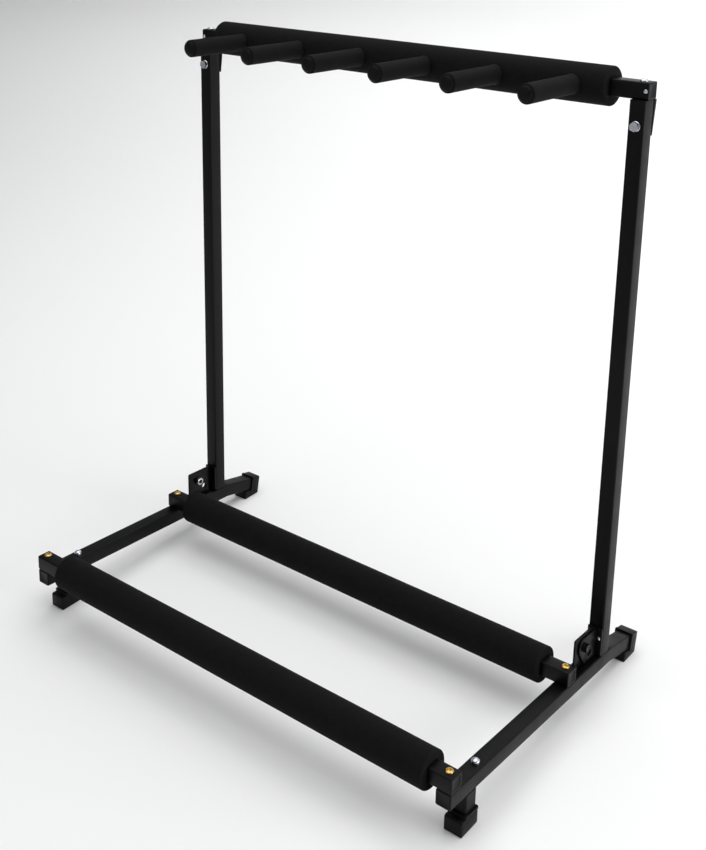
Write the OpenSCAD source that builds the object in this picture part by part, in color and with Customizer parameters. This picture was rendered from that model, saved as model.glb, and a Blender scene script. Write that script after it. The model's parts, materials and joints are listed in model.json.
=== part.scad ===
// Folding guitar rack for five guitars: a square-tube base that stands on four feet, and an upright
// frame with padded pegs that hinges forward and down over the base.
//
// Everything is drawn in the base's own coordinates: Y runs back from the middle of the front crossbar
// and Z runs up from the top of the side rails. stand() then leans the rack back onto its feet, with
// the origin on the floor under the middle of the rack.

/* [Overall] */
// Width over the ends of the crossbars
rack_w = 700; // [600:5:860]
// Top of the side rails to the top of the top crossbar
frame_h = 722; // [600:1:880]
// Front crossbar to rear crossbar, centre to centre
bar_gap = 244; // [200:1:254]
// Front crossbar centre to the front face of the uprights
upright_set = 317; // [310:1:400]
// Height of the side rails' top above the floor, at the front crossbar
rail_h = 68; // [60:0.5:84]
// Backward lean of the rack on its feet, in degrees
lean = 4.2; // [3.4:0.1:5]

/* [Square tube] */
// Outside size of the square tube
tube = 20; // [17:0.5:25]
// Wall of the square tube
tube_wall = 1.5; // [1:0.1:2]
// Outside corner radius of the square tube
tube_corner = 2; // [1.6:0.1:3]

/* [Rear stubs] */
// Downward bend of the side rails behind the uprights, in degrees
droop = 9.5; // [7:0.5:12]
// Radius of the bend, on the rail's top
bend_r = 40; // [34:1:60]
// Length of the stub after the bend
stub_len = 66; // [54:1:84]
// Back face of the uprights to the bend
bend_gap = 4; // [1:0.5:10]

/* [Front legs] */
// Front crossbar centre to the centre of the front legs
leg_set = 30.5; // [24:0.5:40]
// Front leg's centre to its bolt through the rail
leg_bolt_gap = 20.5; // [18:0.5:28]
// Thickness of the leg's hook
hook_t = 3; // [2:0.5:4]
// Depth of the hook's root in the leg
hook_root = 14; // [10:1:18]

/* [Foot caps] */
// Wall of the foot caps
cap_wall = 1.8; // [1.2:0.1:2.5]
// Height of the front foot caps
cap_h = 22; // [16:1:28]
// Sleeve length of the rear foot caps
rear_cap_len = 15; // [12:1:26]
// Reach of the front caps' toe ahead of the sleeve
toe = 7.5; // [4:0.5:12]
// Height of the front caps' toe
toe_h = 18; // [8:1:20]
// Length of the pad under the rear caps
pad_len = 29; // [22:1:36]
// Plastic under the end of the front leg's tube
sole_t = 4; // [3:0.5:6]

/* [Hinge] */
// Hinge pin ahead of the upright's front face
pivot_ahead = 32.5; // [27:0.5:39]
// Hinge pin above the rail's top
pivot_up = 28; // [24:0.5:34]
// Thickness of the hinge ears
ear_t = 2.5; // [2:0.1:3]
// Radius of the moving ear around the pin
ear_r = 12; // [11:0.5:13]
// Fixed ear's reach ahead of the pin
ear_front = 18; // [12:0.5:20]
// Fixed ear's height above the pin
ear_up = 15; // [12:0.5:16]
// Side clearance between the two ears
ear_gap = 0.3; // [0.2:0.05:0.6]
// Radius of the hinge bolt
hinge_bolt_r = 3; // [2.5:0.5:4]
// Running clearance around the hinge bolt
hinge_play = 0.06; // [0.03:0.01:0.1]
// Radius of the locking hole through both ears
lock_r = 4.7; // [3:0.1:5]
// Locking hole's distance back from and below the pin
lock_offset = 14.5; // [13:0.5:16]

/* [Foam sleeves] */
// Outside diameter of the foam on the crossbars
foam_d = 46.5; // [38:0.5:58]
// Bare crossbar at each end of a centred foam sleeve
foam_end_gap = 41.5; // [30:0.5:60]
// Sideways set of the front foam
front_foam_shift = 10; // [-10:1:10]
// Sideways set of the rear foam
rear_foam_shift = 3; // [-10:1:10]
// Sideways set of the top foam
top_foam_shift = -7; // [-10:1:10]
// Gap between the foam and the tube in it
foam_gap = 0.1; // [0.05:0.05:0.4]

/* [Pegs] */
// Distance between pegs, centre to centre
peg_pitch = 104; // [80:1:106]
// Length of the peg foam, from the crossbar's foam
peg_len = 97; // [75:1:125]
// Outside diameter of the peg foam
peg_d = 23.5; // [19:0.5:30]
// Outside diameter of the peg's steel tube
peg_rod_d = 12; // [10:0.5:14]
// Wall of the peg's steel tube
peg_rod_wall = 1.5; // [1:0.1:2]
// Width of the peg's end cap
peg_cap_d = 20; // [17:0.5:23]
// Reach of the end cap past the foam
peg_cap_h = 4; // [3:0.5:6]

/* [Top joint] */
// Top crossbar's centre behind the upright's centre
top_setback = 5; // [0:0.5:6]
// Top of the top crossbar to the bracket bolt
bracket_bolt_drop = 49; // [40:1:60]
// Steel of the top bracket
bracket_t = 2; // [1.5:0.5:3]
// Bracket bolt to the bracket's lower edge
bracket_tail = 12; // [9:1:16]

/* [Fasteners] */
// Radius of the crossbar screws
screw_r = 2.5; // [2:0.25:3]
// Head radius of the crossbar screws
screw_head_r = 5; // [4:0.25:6]
// Head height of the crossbar screws
screw_head_h = 3; // [2:0.25:4]
// Radius of the bolts
bolt_r = 2.9; // [2.4:0.1:3.9]
// Hexagon across flats of the bolts and nuts
hex_af = 10; // [8:1:13]
// Height of the bolt heads
bolt_head_h = 4; // [3:0.1:6]
// Height of the nuts
nut_h = 5; // [4:0.5:7]
// Washer thickness
washer_t = 1.6; // [1:0.2:2]
// Washer radius
washer_r = 6; // [5.6:0.2:8]
// Head radius of the leg bolts
leg_bolt_head_r = 5; // [4:0.25:7.5]
// Head height of the leg bolts
leg_bolt_head_h = 6; // [4:0.5:10]
// Radius of the rivets in the hinge ears and the top crossbar
rivet_r = 1.5; // [1:0.25:2]
// Ear rivet's height above the rail
rivet_up = 26; // [22:0.5:30]
// Clearance around screws, bolts and rods
fit = 0.1; // [0.05:0.05:0.2]

/* [End plugs] */
// Flange of the end plugs
plug_t = 1.5; // [1:0.25:2]
// Depth of the plugs in the tube
plug_depth = 4.5; // [3:0.5:5]
// Flange of the plugs under the uprights
heel_t = 2; // [1.5:0.25:3]
// Gap between the uprights' heels and the rails
heel_gap = 0.5; // [0.3:0.1:1]

/* [Hidden] */
// Overlap that lets a cutting shape pass clean through.
EPS = 0.5;
// Furthest reach of the block that trims the feet level with the floor.
FAR = 1200;

PEG_COUNT = 6;
// Width of the cross recess in the screws.
recess_w = 1.2;
// Flats that the round of a rail's bend is made of.
BEND_STEPS = 4;

BLACK_COAT = "#17171a";
BLACK_PLASTIC = "#101012";
FOAM = "#242426";
ZINC = "#c9ccd0";
YELLOW_ZINC = "#c2a25a";
BLACK_STEEL = "#2e2f33";

half_w = rack_w / 2;
half_t = tube / 2;
side_x = half_w - half_t;
bar_z = half_t;
upright_y = upright_set + half_t;
top_bar_y = upright_y + top_setback;
top_bar_z = frame_h - half_t;
upright_top = frame_h - tube;
// The top screws stand midway between the uprights' and the top crossbar's middles.
top_screw_y = upright_y + top_setback / 2;
upright_foot = heel_gap + heel_t;
bend_y = upright_set + tube + bend_gap;
front_end = -half_t;
leg_bolt_y = leg_set + leg_bolt_gap;
hook_w = tube - 2 * tube_wall;
hook_y = leg_set - half_t + tube_wall;
hook_z = -tube_wall - fit - hook_t;
hook_end = leg_bolt_y + hex_af * 0.9;
// The slot is as long as the hook's lying part needs to swing up through it.
hook_slot = 2 * hook_t + 4;
bracket_z = frame_h - bracket_bolt_drop;
bracket_y = upright_set + tube;

pivot_y = upright_set - pivot_ahead;
pivot_z = pivot_up;
rivet_head_r = rivet_r * 1.6;
rivet_head_h = rivet_head_r / 2;
top_rivet_len = tube_wall + 2;
// The fixed ear's back corner stays inside the circle that the ear rivet's head sweeps.
sweep_clear = 1;
sweep_r = pivot_ahead - ear_t - rivet_head_h - sweep_clear;
ear_back = sqrt(pow(sweep_r, 2) - pow(ear_up, 2));
ear_pack = ear_gap / 2 + ear_t;
// The ear rivet stands between the moving ear's outer face and the inside of the tube's outer wall.
rivet_out = (ear_pack + half_t - tube_wall) / 2;
ear_top = pivot_z + ear_r;

foam_r = foam_d / 2;
foam_len = rack_w - 2 * foam_end_gap;
peg_root_y = top_bar_y - foam_r;
peg_tip_y = peg_root_y - peg_len;
foam_seam = 0.3;
plug_in = tube - 2 * tube_wall - 2 * fit;

// Height of the floor, seen in the leaned coordinates, at a distance y back.
function floor_z(y) = (y * sin(lean) - rail_h) / cos(lean);
leg_foot_z = floor_z(leg_set) + sole_t;

// Front and back of the whole rack on the floor, which place the origin midway between them.
rack_front = bar_z * sin(lean) - foam_r;
cap_back_y = bend_y + (stub_len + cap_wall) * cos(droop) + (bend_r + cap_wall) * sin(droop);
cap_back_z = (bend_r + cap_wall) * cos(droop) - (stub_len + cap_wall) * sin(droop) - bend_r;
foam_back = top_bar_y * cos(lean) + top_bar_z * sin(lean) + foam_r;
rack_back = max(cap_back_y * cos(lean) + cap_back_z * sin(lean), foam_back);
home_y = -(rack_front + rack_back) / 2;

$fn = 48;

// ---- placing ----

// Leans the rack back and sets it on the floor.
module stand() {
    translate([0, home_y, rail_h]) rotate([-lean, 0, 0]) children();
}

// Draws a part of the right-hand side frame, or its mirror image on the left.
module on_side(side) {
    mirror([side < 0 ? 1 : 0, 0, 0]) translate([side_x, 0, 0]) children();
}

module both_sides() {
    for (side = [-1, 1]) on_side(side) children();
}

// Turns a shape drawn along +Z so that it runs back along +Y, or out along +X.
module along_y() {
    rotate([-90, 0, 0]) children();
}

module along_x() {
    rotate([0, 90, 0]) children();
}

// Extrudes a side view, drawn with Y across and Z up, over the width w about X = 0.
module side_view(w) {
    rotate([90, 0, 90]) linear_extrude(w, center = true) children();
}

// Moves to the top of a side rail after its bend, with +Y running down the stub.
module at_stub() {
    translate([0, bend_y, -bend_r]) rotate([-droop, 0, 0]) translate([0, 0, bend_r]) children();
}

// Cuts off what would be below the floor.
module above_floor() {
    difference() {
        children();
        translate([-FAR, -FAR, -FAR]) cube([2 * FAR, 2 * FAR, FAR]);
    }
}

// ---- stock ----

module rounded_square(size, r) {
    square([size - 2 * r, size], center = true);
    square([size, size - 2 * r], center = true);
    for (x = [-1, 1], y = [-1, 1]) {
        translate([x * (size / 2 - r), y * (size / 2 - r)]) circle(r);
    }
}

module tube_section() {
    difference() {
        rounded_square(tube, tube_corner);
        rounded_square(tube - 2 * tube_wall, max(tube_corner - tube_wall, 0.3));
    }
}

module tube_stock(length) {
    linear_extrude(length) tube_section();
}

// A plug for a tube's end: the flange stands on Z = 0 and the plug goes down.
module end_plug(flange) {
    linear_extrude(flange) rounded_square(tube, tube_corner);
    translate([0, 0, -plug_depth]) linear_extrude(plug_depth) rounded_square(plug_in, 1);
}

// Cross-recessed screw: the head stands on Z = 0 and the shank goes down.
module pan_screw(length) {
    rim = screw_head_h / 3;
    difference() {
        union() {
            cylinder(h = rim, r = screw_head_r);
            translate([0, 0, rim]) dome_top(screw_head_r, screw_head_h - rim);
        }
        for (turn = [0, 90]) {
            rotate(turn) translate([-screw_head_r / 2, -recess_w / 2, rim])
                cube([screw_head_r, recess_w, screw_head_h]);
        }
    }
    translate([0, 0, -length]) cylinder(h = length, r = screw_r);
}

module hexagon(height, af) {
    cylinder(h = height, r = af / sqrt(3), $fn = 6);
}

// Hexagon bolt: the head stands on Z = 0 and the shank goes down.
module hex_bolt(length, r) {
    hexagon(bolt_head_h, hex_af);
    translate([0, 0, -length]) cylinder(h = length, r = r);
}

module hex_nut(height, r) {
    difference() {
        hexagon(height, hex_af);
        translate([0, 0, -EPS]) cylinder(h = height + 2 * EPS, r = r);
    }
}

module washer(r) {
    difference() {
        cylinder(h = washer_t, r = washer_r);
        translate([0, 0, -EPS]) cylinder(h = washer_t + 2 * EPS, r = r);
    }
}

// Cap of a ball, of radius r where it meets Z = 0 and of height h.
module dome_top(r, h) {
    ball = (r * r + h * h) / (2 * h);
    intersection() {
        cylinder(h = h, r = r);
        translate([0, 0, h - ball]) sphere(ball, $fn = 96);
    }
}

// ---- base ----

// Side view of a rail between two depths below its top: level from the front, round the bend, then down
// a stub of that length.
module rail_view(low, high, front, length) {
    arc_low = [for (i = [0:BEND_STEPS]) bend_point(i / BEND_STEPS * droop, low)];
    arc_high = [for (i = [BEND_STEPS:-1:0]) bend_point(i / BEND_STEPS * droop, high)];
    along = length * [cos(droop), -sin(droop)];
    polygon(concat(
        [[front, -low]], arc_low, [bend_point(droop, low) + along],
        [bend_point(droop, high) + along], arc_high, [[front, -high]]
    ));
}

function bend_point(a, depth) = [
    bend_y + (bend_r - depth) * sin(a),
    -bend_r + (bend_r - depth) * cos(a)
];

module rail_body() {
    front = front_end + plug_t;
    difference() {
        side_view(tube) rail_view(0, tube, front, stub_len);
        side_view(tube - 2 * tube_wall)
            rail_view(tube_wall, tube - tube_wall, front - EPS, stub_len + EPS);
    }
}

module rail(side) {
    color(BLACK_COAT) stand() on_side(side) difference() {
        rail_body();
        for (y = [0, bar_gap]) {
            translate([0, y, -tube_wall - EPS])
                cylinder(h = tube_wall + 2 * EPS, r = screw_r + fit);
        }
        translate([0, leg_bolt_y, -tube_wall - EPS])
            cylinder(h = tube_wall + 2 * EPS, r = bolt_r + fit);
        translate([-hook_w / 2 - fit, hook_y - fit, -tube - EPS])
            cube([hook_w + 2 * fit, hook_slot, tube_wall + 2 * EPS]);
    }
}

module rail_plugs() {
    color(BLACK_PLASTIC) stand() both_sides()
        translate([0, front_end + plug_t, -half_t]) rotate([90, 0, 0]) end_plug(plug_t);
}

// Short square-tube leg. A flat steel hook stands out of its top, goes up through a slot in the rail's
// lower wall and lies back under the rail's top wall, where the leg bolt pulls it tight.
module front_leg(side) {
    color(BLACK_COAT) stand() on_side(side) {
        translate([0, leg_set, leg_foot_z]) tube_stock(-tube - leg_foot_z);
        difference() {
            side_view(hook_w) {
                translate([hook_y, -tube - hook_root]) square([hook_t, tube + hook_root - tube_wall - fit]);
                translate([hook_y, hook_z]) square([hook_end - hook_y, hook_t]);
            }
            translate([0, leg_bolt_y, hook_z - EPS])
                cylinder(h = hook_t + 2 * EPS, r = bolt_r + fit);
        }
    }
}

// Cap on the leg's end, with a toe towards the front.
module front_foot(side) {
    cap_w = tube + 2 * (cap_wall + fit);
    bottom = floor_z(0) - sole_t;
    top_z = floor_z(leg_set) + cap_h;
    toe_top = floor_z(leg_set) + toe_h;
    color(BLACK_PLASTIC) above_floor() stand() on_side(side) difference() {
        union() {
            translate([0, leg_set, bottom]) linear_extrude(top_z - bottom)
                rounded_square(cap_w, tube_corner + cap_wall);
            translate([-cap_w / 2, leg_set - cap_w / 2 - toe, bottom])
                cube([cap_w, toe + cap_w / 2, toe_top - bottom]);
        }
        translate([0, leg_set, leg_foot_z]) linear_extrude(cap_h)
            rounded_square(tube + 2 * fit, tube_corner);
    }
}

// Cap on the stub's end, with a pad that reaches down to the floor.
module rear_foot(side) {
    cap_w = tube + 2 * (cap_wall + fit);
    color(BLACK_PLASTIC) above_floor() stand() on_side(side) at_stub() difference() {
        union() {
            translate([0, stub_len - rear_cap_len, -half_t]) along_y()
                linear_extrude(rear_cap_len + cap_wall) rounded_square(cap_w, tube_corner + cap_wall);
            translate([-cap_w / 2, stub_len + cap_wall - pad_len, -tube * 2.4])
                cube([cap_w, pad_len, tube * 1.4 - fit]);
        }
        translate([0, -tube, -half_t]) along_y() linear_extrude(stub_len + tube)
            square(tube + 2 * fit, center = true);
    }
}

// Round-headed bolts that hold the legs' hooks, with their nuts inside the rails.
module leg_bolts() {
    color(ZINC) stand() both_sides() translate([0, leg_bolt_y, 0]) {
        neck = leg_bolt_head_h - leg_bolt_head_r / 2;
        cylinder(h = neck, r = leg_bolt_head_r);
        translate([0, 0, neck]) dome_top(leg_bolt_head_r, leg_bolt_head_r / 2);
        translate([0, 0, hook_z - nut_h - 1]) cylinder(h = nut_h + 1 - hook_z, r = bolt_r);
    }
}

module leg_nuts() {
    color(ZINC) stand() both_sides()
        translate([0, leg_bolt_y, hook_z - nut_h]) hex_nut(nut_h, bolt_r + fit);
}

// Fixed half of the hinge: an angle that stands on the rail, on the inner side of the pin.
module rail_ear(side) {
    color(BLACK_COAT) stand() on_side(side) difference() {
        union() {
            translate([-ear_gap / 2 - ear_t, pivot_y - ear_front, 0])
                cube([ear_t, ear_front + ear_back, pivot_z + ear_up]);
            translate([-half_t, pivot_y - ear_front, 0])
                cube([half_t - ear_gap / 2, ear_front + ear_back, ear_t]);
        }
        hinge_holes(hinge_bolt_r + hinge_play);
    }
}

module hinge_holes(pin_r) {
    translate([0, pivot_y, pivot_z]) along_x() cylinder(h = 2 * tube, r = pin_r, center = true);
    translate([0, pivot_y + lock_offset, pivot_z - lock_offset]) along_x()
        cylinder(h = 2 * tube, r = lock_r, center = true);
}

// The hinge pins: bolts with their heads outside, a washer each side, and nuts inside.
module hinge_bolts() {
    color(BLACK_STEEL) stand() both_sides() translate([ear_pack + washer_t, pivot_y, pivot_z])
        along_x() hex_bolt(2 * (ear_pack + washer_t) + nut_h + 1, hinge_bolt_r);
}

module hinge_washers() {
    color(BLACK_STEEL) stand() both_sides() {
        for (x = [ear_pack, -ear_pack - washer_t]) {
            translate([x, pivot_y, pivot_z]) along_x() washer(hinge_bolt_r + hinge_play);
        }
    }
}

module hinge_nuts() {
    color(BLACK_STEEL) stand() both_sides()
        translate([-ear_pack - washer_t - nut_h, pivot_y, pivot_z]) along_x()
            hex_nut(nut_h, hinge_bolt_r + hinge_play);
}

// ---- crossbars ----

// A crossbar on its centre line, drilled for the screw at each end.
module crossbar_blank() {
    difference() {
        translate([-half_w + plug_t, 0, 0]) along_x() tube_stock(rack_w - 2 * plug_t);
        for (side = [-1, 1]) {
            translate([side * side_x, 0, 0])
                cylinder(h = tube + 2 * EPS, r = screw_r + fit, center = true);
        }
    }
}

module crossbar(y, z) {
    color(BLACK_COAT) stand() translate([0, y, z]) crossbar_blank();
}

module bar_plugs(y, z) {
    color(BLACK_PLASTIC) stand() for (side = [-1, 1]) {
        translate([side * (half_w - plug_t), y, z]) rotate([0, side * 90, 0]) end_plug(plug_t);
    }
}

// Screws down through a crossbar's ends; reach is how far they go past the crossbar.
module bar_screws(y, z, reach, finish) {
    color(finish) stand() both_sides() translate([0, y, z + half_t]) pan_screw(tube + reach);
}

module foam_body(shift) {
    difference() {
        translate([shift, 0, 0]) along_x() cylinder(h = foam_len, r = foam_r, center = true, $fn = 96);
        along_x() translate([0, 0, -rack_w]) linear_extrude(2 * rack_w)
            rounded_square(tube + 2 * foam_gap, tube_corner);
    }
}

module bar_foam(y, z, shift) {
    color(FOAM) stand() translate([0, y, z]) foam_body(shift);
}

// ---- upright frame ----

module upright(side) {
    color(BLACK_COAT) stand() on_side(side) difference() {
        translate([0, upright_y, upright_foot]) tube_stock(upright_top - upright_foot);
        translate([0, upright_set - EPS, bracket_z]) along_y()
            cylinder(h = tube + 2 * EPS, r = bolt_r + fit);
        translate([rivet_out, upright_set - EPS, rivet_up]) along_y()
            cylinder(h = tube_wall + 2 * EPS, r = rivet_r + fit);
    }
}

module heel_plug(side) {
    color(BLACK_PLASTIC) stand() on_side(side)
        translate([0, upright_y, upright_foot]) mirror([0, 0, 1]) end_plug(heel_t);
}

// Moving half of the hinge: a flange riveted to the upright, and an ear on the outer side of the pin.
module upright_ear(side) {
    flange_y = upright_set - ear_t;
    color(BLACK_COAT) stand() on_side(side) difference() {
        union() {
            translate([-half_t, flange_y, upright_foot]) cube([tube, ear_t, ear_top - upright_foot]);
            translate([ear_gap / 2 + ear_t / 2, 0, 0]) side_view(ear_t) {
                translate([pivot_y, pivot_z]) circle(ear_r, $fn = 96);
                translate([pivot_y, upright_foot])
                    square([flange_y - pivot_y + ear_t / 2, ear_top - upright_foot]);
            }
        }
        hinge_holes(hinge_bolt_r + hinge_play);
        translate([rivet_out, flange_y - EPS, rivet_up]) along_y()
            cylinder(h = ear_t + 2 * EPS, r = rivet_r + fit);
    }
}

// A round-headed rivet: the head stands on Z = 0 and the shank goes down.
module rivet(length) {
    dome_top(rivet_head_r, rivet_head_h);
    translate([0, 0, -length]) cylinder(h = length, r = rivet_r);
}

module ear_rivets() {
    color(ZINC) stand() both_sides()
        translate([rivet_out, upright_set - ear_t, rivet_up]) rotate([90, 0, 0]) rivet(ear_t + tube_wall + 2);
}

// Threaded inserts in the tops of the uprights, for the top crossbar's screws.
module upright_inserts() {
    depth = 14;
    color(BLACK_PLASTIC) stand() both_sides() difference() {
        translate([0, upright_y, upright_top - depth]) linear_extrude(depth) rounded_square(plug_in, 1);
        translate([0, top_screw_y, upright_top - depth - EPS])
            cylinder(h = depth + 2 * EPS, r = screw_r + fit);
    }
}

// Folded bracket behind the upright's top, under the crossbar: a web with two tapering cheeks.
module top_bracket(side) {
    low = bracket_z - bracket_tail;
    color(BLACK_COAT) stand() on_side(side) difference() {
        union() {
            translate([-half_t, bracket_y, low]) cube([tube, bracket_t, upright_top - low]);
            for (x = [-1, 1]) {
                translate([x * (half_t - bracket_t / 2), 0, 0]) side_view(bracket_t) polygon([
                    [bracket_y, low],
                    [bracket_y + bracket_t, low],
                    [bracket_y + bracket_t + top_setback, upright_top],
                    [bracket_y, upright_top]
                ]);
            }
        }
        translate([0, bracket_y - EPS, bracket_z]) along_y()
            cylinder(h = bracket_t + 2 * EPS, r = bolt_r + fit);
    }
}

module bracket_bolts() {
    color(ZINC) stand() both_sides() translate([0, upright_set - washer_t, bracket_z])
        rotate([90, 0, 0]) hex_bolt(washer_t + tube + bracket_t + nut_h + 1, bolt_r);
}

module bracket_washers() {
    color(ZINC) stand() both_sides()
        translate([0, upright_set - washer_t, bracket_z]) along_y() washer(bolt_r + fit);
}

module bracket_nuts() {
    color(ZINC) stand() both_sides()
        translate([0, bracket_y + bracket_t, bracket_z]) along_y() rotate(30) hex_nut(nut_h, bolt_r + fit);
}

// ---- pegs ----

function peg_x(i) = (i - (PEG_COUNT + 1) / 2) * peg_pitch;

// A bore of radius r for each peg, from the middle of the top crossbar out to the front.
module peg_bores(r) {
    for (i = [1:PEG_COUNT]) {
        translate([peg_x(i), 0, 0]) rotate([90, 0, 0]) cylinder(h = foam_d, r = r);
    }
}

module top_crossbar() {
    color(BLACK_COAT) stand() difference() {
        translate([0, top_bar_y, top_bar_z]) difference() {
            translate([-half_w + plug_t, 0, 0]) along_x() tube_stock(rack_w - 2 * plug_t);
            peg_bores(peg_rod_d / 2 + fit);
        }
        for (side = [-1, 1]) {
            translate([side * side_x, top_screw_y, top_bar_z])
                cylinder(h = tube + 2 * EPS, r = screw_r + fit, center = true);
        }
        top_rivet_bores();
    }
}

module top_foam() {
    color(FOAM) stand() translate([0, top_bar_y, top_bar_z]) difference() {
        foam_body(top_foam_shift);
        peg_bores(peg_rod_d / 2 + foam_seam);
    }
}

module top_bar_screws() {
    reach = 10;
    color(ZINC) stand() both_sides()
        translate([0, top_screw_y, frame_h]) pan_screw(tube + reach);
}

// Moves to the rivet that holds each of the top crossbar's plugs, in the middle of the bar's front face.
module at_top_rivets() {
    both_sides() translate([half_t - plug_t - plug_depth / 2, top_bar_y - half_t, top_bar_z])
        rotate([90, 0, 0]) children();
}

module top_rivet_bores() {
    at_top_rivets() translate([0, 0, -top_rivet_len - EPS])
        cylinder(h = top_rivet_len + 2 * EPS, r = rivet_r + fit);
}

module top_bar_plugs() {
    color(BLACK_PLASTIC) difference() {
        bar_plugs(top_bar_y, top_bar_z);
        stand() top_rivet_bores();
    }
}

module top_bar_rivets() {
    color(ZINC) stand() at_top_rivets() rivet(top_rivet_len);
}

// Steel tube of a peg, welded in the crossbar: it goes through the front wall to the back wall.
module peg_rod(i) {
    back = top_bar_y + half_t - tube_wall;
    color(BLACK_COAT) stand() translate([peg_x(i), back, top_bar_z]) rotate([90, 0, 0]) difference() {
        cylinder(h = back - peg_tip_y, r = peg_rod_d / 2);
        translate([0, 0, peg_rod_wall]) cylinder(h = FAR, r = peg_rod_d / 2 - peg_rod_wall);
    }
}

// Foam sleeve of a peg, coped to the round of the crossbar's foam.
module peg_foam(i) {
    color(FOAM) stand() difference() {
        translate([peg_x(i), top_bar_y, top_bar_z]) rotate([90, 0, 0]) difference() {
            cylinder(h = top_bar_y - peg_tip_y, r = peg_d / 2, $fn = 64);
            cylinder(h = FAR, r = peg_rod_d / 2 + fit);
        }
        translate([0, top_bar_y, top_bar_z]) along_x()
            cylinder(h = rack_w, r = foam_r + foam_seam, center = true, $fn = 96);
    }
}

// Domed cap pressed into the end of a peg.
module peg_cap(i) {
    spigot_r = peg_rod_d / 2 - peg_rod_wall - fit;
    spigot = 8;
    rim = 1;
    color(BLACK_PLASTIC) stand() translate([peg_x(i), peg_tip_y, top_bar_z]) rotate([90, 0, 0]) {
        cylinder(h = rim, r = peg_cap_d / 2);
        translate([0, 0, rim]) dome_top(peg_cap_d / 2, peg_cap_h - rim);
        translate([0, 0, -spigot]) cylinder(h = spigot, r = spigot_r);
    }
}

// ---- nodes ----

rail(-1);  // left_rail
rail(1);  // right_rail
rail_plugs();
front_leg(-1);  // left_front_leg
front_leg(1);  // right_front_leg
front_foot(-1);  // left_front_foot
front_foot(1);  // right_front_foot
rear_foot(-1);  // left_rear_foot
rear_foot(1);  // right_rear_foot
leg_bolts();
leg_nuts();
rail_ear(-1);  // left_rail_ear
rail_ear(1);  // right_rail_ear
hinge_bolts();
hinge_washers();
hinge_nuts();
crossbar(0, bar_z);  // front_crossbar
crossbar(bar_gap, bar_z);  // rear_crossbar
bar_plugs(0, bar_z);  // front_bar_plugs
bar_plugs(bar_gap, bar_z);  // rear_bar_plugs
bar_screws(0, bar_z, 6, YELLOW_ZINC);  // front_bar_screws
bar_screws(bar_gap, bar_z, 6, YELLOW_ZINC);  // rear_bar_screws
bar_foam(0, bar_z, front_foam_shift);  // front_foam
bar_foam(bar_gap, bar_z, rear_foam_shift);  // rear_foam
upright(-1);  // left_upright
upright(1);  // right_upright
heel_plug(-1);  // left_heel_plug
heel_plug(1);  // right_heel_plug
upright_ear(-1);  // left_upright_ear
upright_ear(1);  // right_upright_ear
ear_rivets();
upright_inserts();
top_bracket(-1);  // left_top_bracket
top_bracket(1);  // right_top_bracket
bracket_bolts();
bracket_washers();
bracket_nuts();
top_crossbar();
top_bar_plugs();
top_bar_screws();
top_bar_rivets();
top_foam();
for (i = [1:PEG_COUNT]) {
    peg_rod(i);
    peg_foam(i);
    peg_cap(i);
}
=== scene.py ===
"""Finished look of a folding guitar rack: powder-coated square tube, thick foam sleeves and zinc fasteners.

Every piece is drawn in the base's own coordinates in millimetres (X across, Y back from the middle of
the front crossbar, Z up from the top of the side rails), and one matrix leans it back onto its feet.
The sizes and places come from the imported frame.
"""

import json
import logging
import math
from dataclasses import dataclass, field
from enum import Enum
from typing import Callable, Iterable, Sequence

import bmesh
import bpy
from mathutils import Matrix, Vector


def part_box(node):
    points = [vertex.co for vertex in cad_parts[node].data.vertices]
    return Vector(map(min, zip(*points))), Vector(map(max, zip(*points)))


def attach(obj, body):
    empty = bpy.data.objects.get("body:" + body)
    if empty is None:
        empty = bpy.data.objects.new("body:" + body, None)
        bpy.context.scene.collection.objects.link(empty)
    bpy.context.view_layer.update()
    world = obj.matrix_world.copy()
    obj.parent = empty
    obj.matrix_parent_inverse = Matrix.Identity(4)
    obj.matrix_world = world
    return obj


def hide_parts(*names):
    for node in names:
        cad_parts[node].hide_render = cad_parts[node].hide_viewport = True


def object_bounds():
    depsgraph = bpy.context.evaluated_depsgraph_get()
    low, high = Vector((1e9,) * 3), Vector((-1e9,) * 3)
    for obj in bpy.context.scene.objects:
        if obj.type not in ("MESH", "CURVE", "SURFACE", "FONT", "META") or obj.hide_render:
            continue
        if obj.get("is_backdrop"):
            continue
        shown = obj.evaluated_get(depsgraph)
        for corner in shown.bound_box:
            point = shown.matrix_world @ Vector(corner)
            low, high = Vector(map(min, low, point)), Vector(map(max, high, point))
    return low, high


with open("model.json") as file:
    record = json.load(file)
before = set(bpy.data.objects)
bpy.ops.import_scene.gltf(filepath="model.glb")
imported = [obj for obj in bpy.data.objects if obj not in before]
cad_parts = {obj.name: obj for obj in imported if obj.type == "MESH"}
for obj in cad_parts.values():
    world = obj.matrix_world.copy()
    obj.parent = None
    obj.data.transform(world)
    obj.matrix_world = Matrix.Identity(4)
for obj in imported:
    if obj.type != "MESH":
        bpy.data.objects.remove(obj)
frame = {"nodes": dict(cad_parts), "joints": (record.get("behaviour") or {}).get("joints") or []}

log = logging.getLogger("guitar_rack")

MM = 0.001
SIDES = (-1, 1)
PEG_COUNT = 6

Point = tuple[float, float]
Ring = list[Vector]


class Body(Enum):
    """The two halves of the folding rack."""

    BASE = "base"
    BACK = "back_frame"


class Slot(Enum):
    """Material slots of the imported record."""

    COAT = "black_coat"
    PLASTIC = "black_plastic"
    FOAM = "foam"
    ZINC = "bright_zinc"
    YELLOW = "yellow_zinc"
    STEEL = "black_steel"


# ---- colours and shader nodes ----


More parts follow.
